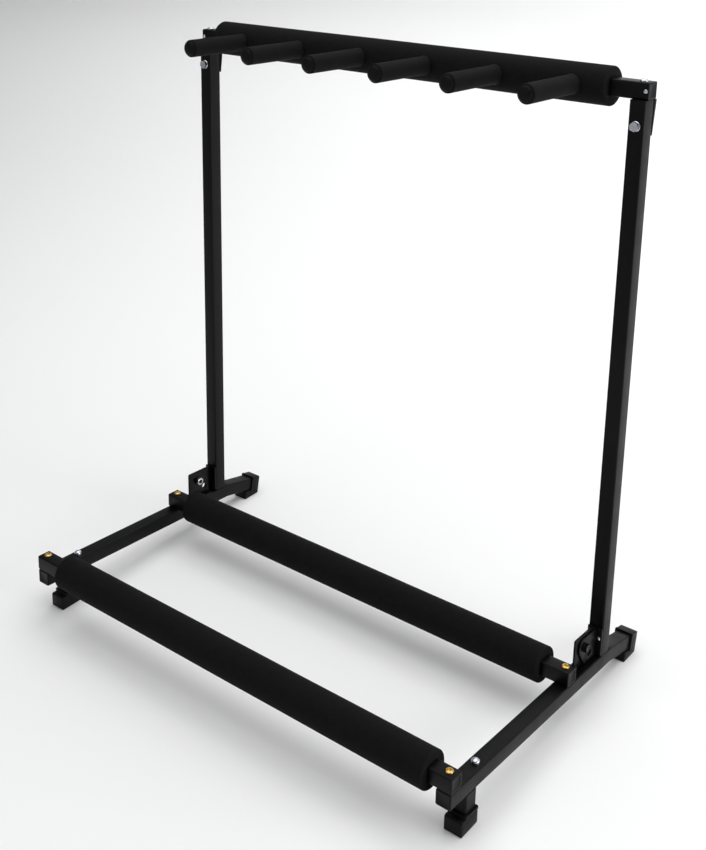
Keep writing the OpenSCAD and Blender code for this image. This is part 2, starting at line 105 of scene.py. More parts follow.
def linear(hex_colour: str) -> tuple[float, float, float, float]:
    """Turns an sRGB hex colour to linear RGBA.

    Args:
        hex_colour: Six hex digits after a hash sign.

    Returns:
        Linear red, green, blue and an alpha of 1.
    """
    parts = [int(hex_colour[i : i + 2], 16) / 255 for i in (1, 3, 5)]
    red, green, blue = (c / 12.92 if c <= 0.04045 else ((c + 0.055) / 1.055) ** 2.4 for c in parts)
    return red, green, blue, 1.0


def add_node(tree: bpy.types.NodeTree, kind: str, inputs: dict | None = None,
             **settings: object) -> bpy.types.Node:
    """Adds a node, sets its properties, and sets or links its inputs.

    Args:
        tree: Node tree that gets the node.
        kind: Blender's name for the node's type.
        inputs: Input name or index, to a value or to an output socket that is linked to it.
        **settings: Properties of the node itself.

    Returns:
        The new node.
    """
    node = tree.nodes.new(kind)
    for name, value in settings.items():
        setattr(node, name, value)
    for name, value in (inputs or {}).items():
        if isinstance(value, bpy.types.NodeSocket):
            tree.links.new(value, node.inputs[name])
        else:
            node.inputs[name].default_value = value
    return node


@dataclass
class Paint:
    """A material under construction, with its shader and its coordinates in millimetres."""

    name: str
    tree: bpy.types.NodeTree = field(init=False)
    shader: bpy.types.Node = field(init=False)
    place: bpy.types.NodeSocket = field(init=False)
    material: bpy.types.Material = field(init=False)

    def __post_init__(self) -> None:
        """Starts the material with a Principled shader and object coordinates in millimetres."""
        self.material = bpy.data.materials.new(self.name)
        self.material.use_nodes = True
        self.tree = self.material.node_tree
        self.tree.nodes.clear()
        self.shader = add_node(self.tree, "ShaderNodeBsdfPrincipled")
        add_node(self.tree, "ShaderNodeOutputMaterial", {"Surface": self.shader.outputs[0]})
        coords = add_node(self.tree, "ShaderNodeTexCoord")
        scaled = add_node(self.tree, "ShaderNodeVectorMath",
                          {0: coords.outputs["Object"], "Scale": 1 / MM}, operation="SCALE")
        self.place = scaled.outputs[0]

    def noise(self, size: float, detail: float = 2.0, rough: float = 0.5) -> bpy.types.NodeSocket:
        """Soft noise whose blots are about that many millimetres wide.

        Args:
            size: Width of a blot in millimetres.
            detail: Finer octaves added to it.
            rough: Strength of the finer octaves.

        Returns:
            The noise's value, about 0 to 1.
        """
        node = add_node(self.tree, "ShaderNodeTexNoise",
                        {"Vector": self.place, "Scale": 1 / size, "Detail": detail, "Roughness": rough})
        return node.outputs[0]

    def cells(self, size: float) -> bpy.types.NodeSocket:
        """Distance to the nearest of a scatter of points that lie about that many millimetres apart."""
        node = add_node(self.tree, "ShaderNodeTexVoronoi", {"Vector": self.place, "Scale": 1 / size})
        return node.outputs["Distance"]

    def remap(self, value: bpy.types.NodeSocket, low: float, high: float, to_low: float,
              to_high: float) -> bpy.types.NodeSocket:
        """Maps a value's range to another, clamped.

        Args:
            value: Socket that is mapped.
            low: Value that becomes to_low.
            high: Value that becomes to_high.
            to_low: Result at low.
            to_high: Result at high.

        Returns:
            The mapped value.
        """
        node = add_node(self.tree, "ShaderNodeMapRange",
                        {"Value": value, "From Min": low, "From Max": high,
                         "To Min": to_low, "To Max": to_high})
        return node.outputs[0]

    def blend(self, share: bpy.types.NodeSocket, first: str | bpy.types.NodeSocket,
              second: str | bpy.types.NodeSocket) -> bpy.types.NodeSocket:
        """Mixes two colours.

        Args:
            share: Share of the second colour, from 0 to 1.
            first: Hex string or colour socket.
            second: Hex string or colour socket.

        Returns:
            The mixed colour.
        """
        first = linear(first) if isinstance(first, str) else first
        second = linear(second) if isinstance(second, str) else second
        node = add_node(self.tree, "ShaderNodeMix", {0: share, 6: first, 7: second}, data_type="RGBA")
        return node.outputs[2]

    def bump(self, height: bpy.types.NodeSocket, depth: float,
             under: bpy.types.NodeSocket | None = None) -> bpy.types.NodeSocket:
        """Raises the surface by a height map.

        Args:
            height: Map from 0 to 1.
            depth: Real height of the relief in millimetres.
            under: Normal that the relief is laid on.

        Returns:
            The new normal.
        """
        inputs = {"Height": height, "Distance": depth * MM, "Strength": 1.0}
        if under is not None:
            inputs["Normal"] = under
        return add_node(self.tree, "ShaderNodeBump", inputs).outputs[0]

    def set(self, **values: object) -> None:
        """Sets or links inputs of the shader.

        Args:
            **values: Value or socket for each input, whose name is written with underscores.
        """
        for name, value in values.items():
            socket = self.shader.inputs[name.replace("_", " ")]
            if isinstance(value, bpy.types.NodeSocket):
                self.tree.links.new(value, socket)
            else:
                socket.default_value = value


@dataclass(frozen=True)
class PowderCoat:
    """Satin black polyester powder, baked on steel tube: a faint orange peel breaks up its reflections."""

    name: str = "satin_powder_coat"
    colour: str = "#050506"
    dust: str = "#101013"
    roughness: float = 0.36
    peel: float = 1.6
    peel_depth: float = 0.012

    def make(self) -> bpy.types.Material:
        """Builds the material: peel in the normal, handling marks in the roughness, dust in the colour.

        Returns:
            The material.
        """
        paint = Paint(self.name)
        marks = paint.noise(34.0, 4.0, 0.6)
        specks = paint.remap(paint.noise(1.1, 1.0), 0.66, 0.8, 0.0, 0.35)
        wear = add_node(paint.tree, "ShaderNodeAttribute", attribute_name="edge").outputs["Fac"]
        shade = paint.blend(specks, self.colour, self.dust)
        paint.set(
            Base_Color=paint.blend(paint.remap(wear, 0.0, 1.0, 0.0, 0.45), shade, self.dust),
            Roughness=paint.remap(marks, 0.3, 0.7, self.roughness - 0.06, self.roughness + 0.1),
            Normal=paint.bump(paint.noise(self.peel, 1.5), self.peel_depth),
            Specular_IOR_Level=0.13,
        )
        return paint.material


@dataclass(frozen=True)
class ClosedCellFoam:
    """Moulded closed-cell foam sleeve: a matt skin with fine pits and a slow unevenness under the hand."""

    name: str = "closed_cell_foam"
    colour: str = "#0d0d0d"
    skin: str = "#141414"
    roughness: float = 0.84
    pit: float = 1.5
    pit_depth: float = 0.11

    def make(self) -> bpy.types.Material:
        """Builds the material; the pits are drawn a little coarser than real so that they show.

        Returns:
            The material.
        """
        paint = Paint(self.name)
        mottle = paint.noise(9.0, 5.0, 0.62)
        pits = paint.cells(self.pit)
        swell = paint.bump(paint.noise(14.0, 3.0), 0.14)
        grain = paint.bump(paint.noise(0.9, 2.0), 0.09, swell)
        paint.set(
            Base_Color=paint.blend(paint.remap(mottle, 0.3, 0.7, 0.0, 1.0), self.colour, self.skin),
            Roughness=paint.remap(mottle, 0.3, 0.7, self.roughness - 0.05, self.roughness + 0.06),
            Normal=paint.bump(paint.remap(pits, 0.0, 0.5, 0.0, 1.0), self.pit_depth, grain),
            Specular_IOR_Level=0.09,
        )
        return paint.material


@dataclass(frozen=True)
class MouldedPlastic:
    """Black injection-moulded plastic: an even fine texture from the mould, a little duller than the coat."""

    name: str = "moulded_black_plastic"
    colour: str = "#060607"
    scuff: str = "#131415"
    roughness: float = 0.46
    grain: float = 0.8

    def make(self) -> bpy.types.Material:
        """Builds the material: mould grain in the normal, scuffs in the colour.

        Returns:
            The material.
        """
        paint = Paint(self.name)
        scuffs = paint.remap(paint.noise(12.0, 6.0, 0.7), 0.58, 0.72, 0.0, 0.5)
        paint.set(
            Base_Color=paint.blend(scuffs, self.colour, self.scuff),
            Roughness=paint.remap(scuffs, 0.0, 0.5, self.roughness, self.roughness + 0.14),
            Normal=paint.bump(paint.noise(self.grain, 2.0), 0.02),
            Specular_IOR_Level=0.13,
        )
        return paint.material


@dataclass(frozen=True)
class PlatedSteel:
    """Steel fastener, zinc-plated or blackened: a metal whose surface bath tints it in soft patches."""

    name: str
    colour: str
    tint: str
    roughness: float

    def make(self) -> bpy.types.Material:
        """Builds the material: tinted patches in the colour, fine scratches in the normal.

        Returns:
            The material.
        """
        paint = Paint(self.name)
        patches = paint.remap(paint.noise(3.2, 3.0), 0.35, 0.65, 0.0, 1.0)
        paint.set(
            Base_Color=paint.blend(patches, self.colour, self.tint),
            Metallic=1.0,
            Roughness=paint.remap(patches, 0.0, 1.0, self.roughness - 0.05, self.roughness + 0.08),
            Normal=paint.bump(paint.noise(0.45, 3.0), 0.01),
        )
        return paint.material


@dataclass(frozen=True)
class StudioPaper:
    """Pale paper sweep under the rack."""

    name: str = "pale_paper"
    colour: str = "#f4f4f4"

    def make(self) -> bpy.types.Material:
        """Builds the material: nearly white, with a faint fibre grain.

        Returns:
            The material.
        """
        paint = Paint(self.name)
        paint.set(
            Base_Color=linear(self.colour),
            Roughness=0.9,
            Normal=paint.bump(paint.noise(1.5, 2.0), 0.02),
        )
        return paint.material


class Finishes:
    """One material for each slot."""

    def __init__(self) -> None:
        """Makes every material once."""
        self.by_slot: dict[Slot, bpy.types.Material] = {
            Slot.COAT: PowderCoat().make(),
            Slot.PLASTIC: MouldedPlastic().make(),
            Slot.FOAM: ClosedCellFoam().make(),
            Slot.ZINC: PlatedSteel("bright_zinc_plated_steel", "#d6d8dc", "#b9bec6", 0.24).make(),
            Slot.YELLOW: PlatedSteel("yellow_passivated_zinc", "#c9a24e", "#d8bd7c", 0.27).make(),
            Slot.STEEL: PlatedSteel("black_oxide_steel", "#1d1d20", "#131315", 0.42).make(),
        }

    def __getitem__(self, slot: Slot) -> bpy.types.Material:
        """The material of a slot."""
        return self.by_slot[slot]


# ---- the rack's own coordinates ----


@dataclass
class Bench:
    """The rack's main sizes in millimetres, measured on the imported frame, and the lean of the rack."""

    tube: float = 20.0
    wall: float = 1.5
    corner: float = 2.0
    plug: float = 1.5
    lean: float = field(init=False)
    origin: Vector = field(init=False)
    half_w: float = field(init=False)
    bar_gap: float = field(init=False)

    def __post_init__(self) -> None:
        """Finds the lean from the two lower crossbars, which lie level in the rack's own coordinates."""
        front = self.world_centre("front_crossbar")
        rear = self.world_centre("rear_crossbar")
        self.lean = math.atan2(front.z - rear.z, rear.y - front.y)
        self.bar_gap = (rear - front).length
        self.origin = front - Matrix.Rotation(-self.lean, 3, "X") @ Vector((0, 0, self.tube / 2))
        low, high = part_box("front_bar_plugs")
        self.half_w = (high.x - low.x) / 2 / MM

    @staticmethod
    def world_centre(node: str) -> Vector:
        """Middle of a CAD node's box in millimetres."""
        low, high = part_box(node)
        return (low + high) / 2 / MM

    @property
    def matrix(self) -> Matrix:
        """Takes the rack's own millimetres to the frame's metres."""
        return Matrix.Scale(MM, 4) @ Matrix.Translation(self.origin) @ Matrix.Rotation(-self.lean, 4, "X")

    def local(self, world_mm: Vector) -> Vector:
        """Takes a point of the frame, in millimetres, to the rack's own coordinates."""
        return Matrix.Rotation(self.lean, 3, "X") @ (world_mm - self.origin)

    def centre(self, node: str) -> Vector:
        """Middle of a CAD node in the rack's own coordinates."""
        return self.local(self.world_centre(node))

    def reach(self, node: str, across: float, axis: int) -> float:
        """Length of a straight CAD node along one of the rack's own axes.

        Args:
            node: Name of the node.
            across: Its size at right angles to that axis.
            axis: 1 for the rack's own Y, 2 for its own Z.

        Returns:
            The length in millimetres.
        """
        low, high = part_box(node)
        extent = (high[axis] - low[axis]) / MM
        return (extent - across * math.sin(self.lean)) / math.cos(self.lean)

    def floor_z(self, y: float) -> float:
        """Height of the floor in the rack's own coordinates, at a distance y back."""
        return (y * math.sin(self.lean) - self.origin.z) / math.cos(self.lean)

    @property
    def side_x(self) -> float:
        """Middle of the side frames."""
        return self.half_w - self.tube / 2


# ---- mesh building ----


def loft(rings: Sequence[Ring], closed: bool = False) -> bmesh.types.BMesh:
    """Skins a row of rings that have the same number of points.

    Args:
        rings: Rings of points, from one end to the other.
        closed: Joins the last ring to the first, instead of capping both.

    Returns:
        The mesh, with its faces outward.
    """
    mesh = bmesh.new()
    rows = [[mesh.verts.new(point) for point in ring] for ring in rings]
    count = len(rows[0])
    pairs = list(zip(rows, rows[1:]))
    if closed:
        pairs.append((rows[-1], rows[0]))
    for one, two in pairs:
        for i in range(count):
            j = (i + 1) % count
            mesh.faces.new((one[i], one[j], two[j], two[i]))
    if not closed:
        mesh.faces.new(rows[0][::-1])
        mesh.faces.new(rows[-1])
    bmesh.ops.recalc_face_normals(mesh, faces=mesh.faces)
    return mesh


def circle(radius: float, z: float, count: int = 48) -> Ring:
    """Ring of points round Z at a height."""
    turn = 2 * math.pi / count
    return [Vector((radius * math.cos(i * turn), radius * math.sin(i * turn), z)) for i in range(count)]


def lathe(profile: Iterable[Point], count: int = 48, bore: bool = False) -> bmesh.types.BMesh:
    """Turns a profile of (radius, height) points round Z.

    Args:
        profile: Points from the bottom to the top, or once round the section if it has a bore.
        count: Points round the turn.
        bore: The profile is a closed section with a hole through the middle.

    Returns:
        The turned mesh.
    """
    return loft([circle(radius, z, count) for radius, z in profile], closed=bore)


def arc_profile(centre: Point, radius: float, start: float, end: float, steps: int = 6) -> list[Point]:
    """Points on an arc, with its angles in degrees."""
    angles = [math.radians(start + (end - start) * i / steps) for i in range(steps + 1)]
    return [(centre[0] + radius * math.cos(a), centre[1] + radius * math.sin(a)) for a in angles]


def square_outline(half: float, corner: float, steps: int = 5) -> list[Point]:
    """Outline of a square with round corners.

    Args:
        half: Half the square's width.
        corner: Radius of the corners.
        steps: Segments in each corner.

    Returns:
        The outline, anticlockwise.
    """
    inset = half - corner
    outline: list[Point] = []
    for quarter, (x, y) in enumerate(((1, 1), (-1, 1), (-1, -1), (1, -1))):
        outline += arc_profile((x * inset, y * inset), corner, quarter * 90, quarter * 90 + 90, steps)
    return outline


def fillet(points: Sequence[Point], radii: Sequence[float], steps: int = 6) -> list[Point]:
    """Rounds the corners of an outline.

    Args:
        points: Corners, in order round the outline.
        radii: Radius at each corner, 0 for a sharp one.
        steps: Segments in each rounded corner.

    Returns:
        The rounded outline.
    """
    outline: list[Point] = []
    count = len(points)
    for i, (corner, radius) in enumerate(zip(points, radii)):
        here = Vector(corner)
        before = (Vector(points[i - 1]) - here).normalized()
        after = (Vector(points[(i + 1) % count]) - here).normalized()
        if radius <= 0:
            outline.append((here.x, here.y))
            continue
        half = before.angle(after) / 2
        middle = here + (before + after).normalized() * (radius / math.sin(half))
        start = here + before * (radius / math.tan(half)) - middle
        end = here + after * (radius / math.tan(half)) - middle
        sweep = start.angle_signed(end)
        for step in range(steps + 1):
            turned = Matrix.Rotation(-sweep * step / steps, 2) @ start
            outline.append((middle.x + turned.x, middle.y + turned.y))
    return outline


def hexagon_radius(angle: float, across: float) -> float:
    """Distance from the middle of a hexagon to its edge, at an angle."""
    sector = math.pi / 3
    return across / 2 / math.cos((angle + sector / 2) % sector - sector / 2)


def hex_block(across: float, height: float, bore: float = 0.0, both_ends: bool = False) -> bmesh.types.BMesh:
    """Hexagon head or nut that stands on Z = 0, with its corners turned off at a chamfer.

    Args:
        across: Width over the flats.
        height: Height of the block.
        bore: Radius of the hole through it, or 0 for a head.
        both_ends: The lower corners are chamfered too.

    Returns:
        The block's mesh.
    """
    count = 72
    angles = [2 * math.pi * i / count for i in range(count)]
    crown = across / 2 * 0.96
    slope = math.tan(math.radians(30))

    def ring(radius: Callable[[float], float], z: Callable[[float], float]) -> Ring:
        """Ring whose radius and height follow the angle."""
        return [Vector((radius(a) * math.cos(a), radius(a) * math.sin(a), z(a))) for a in angles]

    def side(a: float) -> float:
        """Distance to the flats at an angle."""
        return hexagon_radius(a, across)

    def drop(a: float) -> float:
        """How far the chamfer has come down at an angle."""
        return (side(a) - crown) * slope

    low = [ring(lambda a: crown, lambda a: 0.0), ring(side, drop)] if both_ends else [ring(side, lambda a: 0.0)]
    rings = low + [ring(side, lambda a: height - drop(a)), ring(lambda a: crown, lambda a: height)]
    if bore > 0:
        lip = bore * 1.12
        rings += [circle(lip, height, count), circle(bore, height - (lip - bore), count)]
        rings += [circle(bore, lip - bore, count), circle(lip, 0.0, count)]
        return loft(rings, closed=True)
    rings.append(circle(crown * 0.86, height - 0.05, count))
    return loft(rings)


def cross_recess_head(radius: float, height: float, shank: float, length: float) -> bmesh.types.BMesh:
    """Pan head with a cross recess pressed into it, on a plain shank that goes down from Z = 0.

    Args:
        radius: Radius of the head.
        height: Height of the head.
        shank: Radius of the shank.
        length: Length of the shank.

    Returns:
        The screw's mesh.
    """
    count = 64
    arm = radius * 0.17
    reach = radius * 0.62
    depth = height * 0.62
    rim = height * 0.34

    def top(x: float, y: float) -> float:
        """Height of the head's top, with the recess in it.

        Args:
            x: Distance along one arm of the cross.
            y: Distance along the other.

        Returns:
            The height above Z = 0.
        """
        r = math.hypot(x, y) / radius
        dome = rim + (height - rim) * math.sqrt(max(0.0, 1 - r**2.4))
        near, far = sorted((abs(x), abs(y)))
        slot = min(max((arm * 1.25 - near) / (arm * 0.5), 0.0), 1.0)
        end = min(max((reach - far) / (radius * 0.16), 0.0), 1.0)
        return dome - depth * slot * end

    rings = [circle(shank, -length, count), circle(shank, 0.0, count), circle(radius * 0.97, 0.0, count)]
    rings.append(circle(radius, rim * 0.4, count))
    for share in (1.0, 0.97, 0.92, 0.86, 0.8, 0.72, *(step * 0.06 for step in range(11, 0, -1))):
        ring = circle(radius * share, 0.0, count)
        for point in ring:
            point.z = top(point.x, point.y)
        rings.append(ring)
    return loft(rings)


def dome_head(radius: float, height: float, shank: float, length: float, rim: float) -> bmesh.types.BMesh:
    """Round head on a plain shank that goes down from Z = 0.

    Args:
        radius: Radius of the head.
        height: Height of the head.
        shank: Radius of the shank.
        length: Length of the shank.
        rim: Straight side of the head under its dome.

    Returns:
        The bolt's mesh.
    """
    steps = 12
    profile = [(shank, -length), (shank, 0.0), (radius * 0.96, 0.0), (radius, radius * 0.04), (radius, rim)]
    for step in range(1, steps):
        angle = math.pi / 2 * step / steps
        profile.append((radius * math.cos(angle), rim + (height - rim) * math.sin(angle)))
    return lathe(profile)


def rivet(radius: float, length: float) -> bmesh.types.BMesh:
    """Round-headed rivet: the head stands on Z = 0 and is 1.6 times as wide as the shank.

    Args:
        radius: Radius of the shank.
        length: Length of the shank.

    Returns:
        The rivet's mesh.
    """
    head = radius * 1.6
    return dome_head(head, head / 2, radius, length, 0.15)


def washer_block(radius: float, bore: float, thickness: float) -> bmesh.types.BMesh:
    """Flat washer that stands on Z = 0, with its edges broken.

    Args:
        radius: Outer radius.
        bore: Radius of the hole.
        thickness: Thickness of the washer.

    Returns:
        The washer's mesh.
    """
    edge = thickness * 0.25
    return lathe(
        [(bore, edge), (bore + edge, 0.0), (radius - edge, 0.0), (radius, edge), (radius, thickness - edge),
         (radius - edge, thickness), (bore + edge, thickness), (bore, thickness - edge)],
        bore=True,
    )


def end_plug(bench: Bench, flange: float, depth: float) -> bmesh.types.BMesh:
    """Moulded plug for a tube's end: its flange stands on Z = 0, and it goes down in the tube.

    Args:
        bench: The rack's sizes.
        flange: Thickness of the flange.
        depth: Length inside the tube.

    Returns:
        The plug's mesh.
    """
    half = bench.tube / 2
    inner = half - bench.wall - 0.1
    sections = [
        (inner - 0.5, 1.0, -depth), (inner, 1.0, -depth + 0.8), (inner, 1.0, -0.05),
        (half, bench.corner, 0.0), (half, bench.corner, flange * 0.55),
        (half - 0.25, bench.corner, flange * 0.85),
        (half - 0.8, bench.corner, flange), (half - 2.6, 1.6, flange), (half - 3.1, 1.4, flange - 0.35),
    ]
    return loft([[Vector((x, y, z)) for x, y in square_outline(size, corner)] for size, corner, z in sections])


def turned(mesh: bmesh.types.BMesh, matrix: Matrix) -> bmesh.types.BMesh:
    """Places a mesh by a matrix, with its faces outward again.

    Args:
        mesh: The mesh, which is changed.
        matrix: Its place.

    Returns:
        The same mesh.
    """
    bmesh.ops.transform(mesh, matrix=matrix, verts=mesh.verts)
    bmesh.ops.recalc_face_normals(mesh, faces=mesh.faces)
    return mesh


def place(x: float, y: float, z: float, turn: Matrix | None = None) -> Matrix:
    """Matrix that turns a piece and then moves it."""
    return Matrix.Translation((x, y, z)) @ (turn or Matrix.Identity(4))


# Turns of a piece drawn along +Z.
ALONG_X = Matrix.Rotation(math.radians(90), 4, "Y")
TO_LEFT = Matrix.Rotation(math.radians(-90), 4, "Y")
ALONG_Y = Matrix.Rotation(math.radians(-90), 4, "X")
TO_FRONT = Matrix.Rotation(math.radians(90), 4, "X")
DOWN = Matrix.Rotation(math.radians(180), 4, "X")


def inset_outline(outline: Sequence[Point], distance: float) -> list[Point]:
    """Moves an anticlockwise outline inwards, or outwards where the distance is negative.

    Args:
        outline: Points in order round the outline.
        distance: How far each side moves.

    Returns:
        The moved outline.
    """
    moved: list[Point] = []
    count = len(outline)
    for i, point in enumerate(outline):
        here = Vector(point)
        along = (here - Vector(outline[i - 1])).normalized()
        onward = (Vector(outline[(i + 1) % count]) - here).normalized()
        first, second = Vector((-along.y, along.x)), Vector((-onward.y, onward.x))
        middle = (first + second).normalized()
        shift = middle * (distance / max(middle.dot(first), 0.3))
        moved.append((here.x + shift.x, here.y + shift.y))
    return moved


def plate(outline: Sequence[Point], thickness: float, edge: float,
          holes: Sequence[tuple[Point, float]] = ()) -> bmesh.types.BMesh:
    """Flat plate with round holes and broken edges, centred on Z = 0.

    Args:
        outline: Anticlockwise outline in X and Y.
        thickness: Thickness of the plate.
        edge: Size of the rounding on its edges.
        holes: Middle and radius of each hole.

    Returns:
        The plate's mesh.
    """
    mesh = bmesh.new()
    half = thickness / 2
    soft = edge * (1 - math.sqrt(0.5))
    loops = [(list(outline), 1.0)]
    loops += [(arc_profile(middle, radius, 0, 360, 36)[:-1], -1.0) for middle, radius in holes]
    rims: dict[int, list[bmesh.types.BMEdge]] = {0: [], 5: []}
    for points, inward in loops:
        levels = [(edge, -half), (soft, -half + soft), (0.0, -half + edge), (0.0, half - edge),
                  (soft, half - soft), (edge, half)]
        rows = [
            [mesh.verts.new((x, y, z)) for x, y in inset_outline(points, inward * inset)] for inset, z in levels
        ]
        count = len(points)
        for one, two in zip(rows, rows[1:]):
            for i in range(count):
                j = (i + 1) % count
                mesh.faces.new((one[i], one[j], two[j], two[i]))
        for level, rim in rims.items():
            rim += [mesh.edges.get((rows[level][i], rows[level][(i + 1) % count])) for i in range(count)]
    for rim in rims.values():
        bmesh.ops.triangle_fill(mesh, edges=rim, use_beauty=True)
    bmesh.ops.recalc_face_normals(mesh, faces=mesh.faces)
    return mesh


def on_side_view(mesh: bmesh.types.BMesh, x: float) -> bmesh.types.BMesh:
    """Stands a plate, drawn with Y across and Z up, at that X."""
    standing = Matrix(((0, 0, 1, x), (1, 0, 0, 0), (0, 1, 0, 0), (0, 0, 0, 1)))
    return turned(mesh, standing)


def on_front_view(mesh: bmesh.types.BMesh, x: float, y: float) -> bmesh.types.BMesh:
    """Stands a plate, drawn with X across and Y up, at that X and Y."""
    standing = Matrix(((1, 0, 0, x), (0, 0, 1, y), (0, 1, 0, 0), (0, 0, 0, 1)))
    return turned(mesh, standing)


def tube_length(bench: Bench, stations: Sequence[Matrix]) -> bmesh.types.BMesh:
    """Hollow square tube swept through stations, each of which looks along the tube with its +Z.

    Args:
        bench: The rack's sizes.
        stations: Places of the section, from one end to the other.

    Returns:
        The tube's mesh. Its attribute "edge" is 1 along the corners.
    """
    outer = square_outline(bench.tube / 2, bench.corner)
    inner = square_outline(bench.tube / 2 - bench.wall, max(bench.corner - bench.wall, 0.5))
    rings = [[station @ Vector((x, y, 0)) for x, y in outer] for station in stations]
    rings += [[station @ Vector((x, y, 0)) for x, y in inner] for station in reversed(stations)]
    mesh = loft(rings, closed=True)
    edge = mesh.verts.layers.float.new("edge")
    mesh.verts.ensure_lookup_table()
    count = len(outer)
    for number, vert in enumerate(mesh.verts):
        along = number % count % (count // 4)
        if number < count * len(stations):
            vert[edge] = 1 - abs(along / (count // 4 - 1) * 2 - 1)
    return mesh


def join(parts: Sequence[bmesh.types.BMesh]) -> bmesh.types.BMesh:
    """Puts several meshes in one, and frees them.

    Args:
        parts: The meshes.

    Returns:
        One mesh that holds them all.
    """
    data = bpy.data.meshes.new("joined")
    whole = bmesh.new()
    for part in parts:
        part.to_mesh(data)
        part.free()
        whole.from_mesh(data)
        data.clear_geometry()
    bpy.data.meshes.remove(data)
    return whole


@dataclass
class Piece:
    """A finished mesh piece, ready to be hung on the frame."""

    name: str
    body: Body
    slot: Slot
    nodes: tuple[str, ...]

    def finish(self, parts: Sequence[bmesh.types.BMesh], bench: Bench, finishes: Finishes,
               smooth: float = 35.0) -> bpy.types.Object:
        """Args:
            parts: Meshes in the rack's own millimetres.
            bench: The rack's sizes.
            finishes: Materials.
            smooth: Edges sharper than this many degrees stay sharp.

        Returns:
            The piece's object.
        """
        data = bpy.data.meshes.new(self.name)
        whole = join(parts)
        bmesh.ops.transform(whole, matrix=bench.matrix, verts=whole.verts)
        whole.to_mesh(data)
        whole.free()
        for polygon in data.polygons:
            polygon.use_smooth = True
        data.set_sharp_from_angle(angle=math.radians(smooth))
        data.materials.append(finishes[self.slot])
        piece = bpy.data.objects.new(self.name, data)
        bpy.context.scene.collection.objects.link(piece)
        return self.declare(piece)

    def declare(self, piece: bpy.types.Object) -> bpy.types.Object:
        """Hangs a finished object on its body and hides the CAD nodes that it stands for.

        Args:
            piece: The object, at the origin.

        Returns:
            The same object.
        """
        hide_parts(*self.nodes)
        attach(piece, self.body.value)
        log.info("%s: %d faces on %s", self.name, len(piece.data.polygons), self.body.value)
        return piece


# ---- repeated fasteners ----


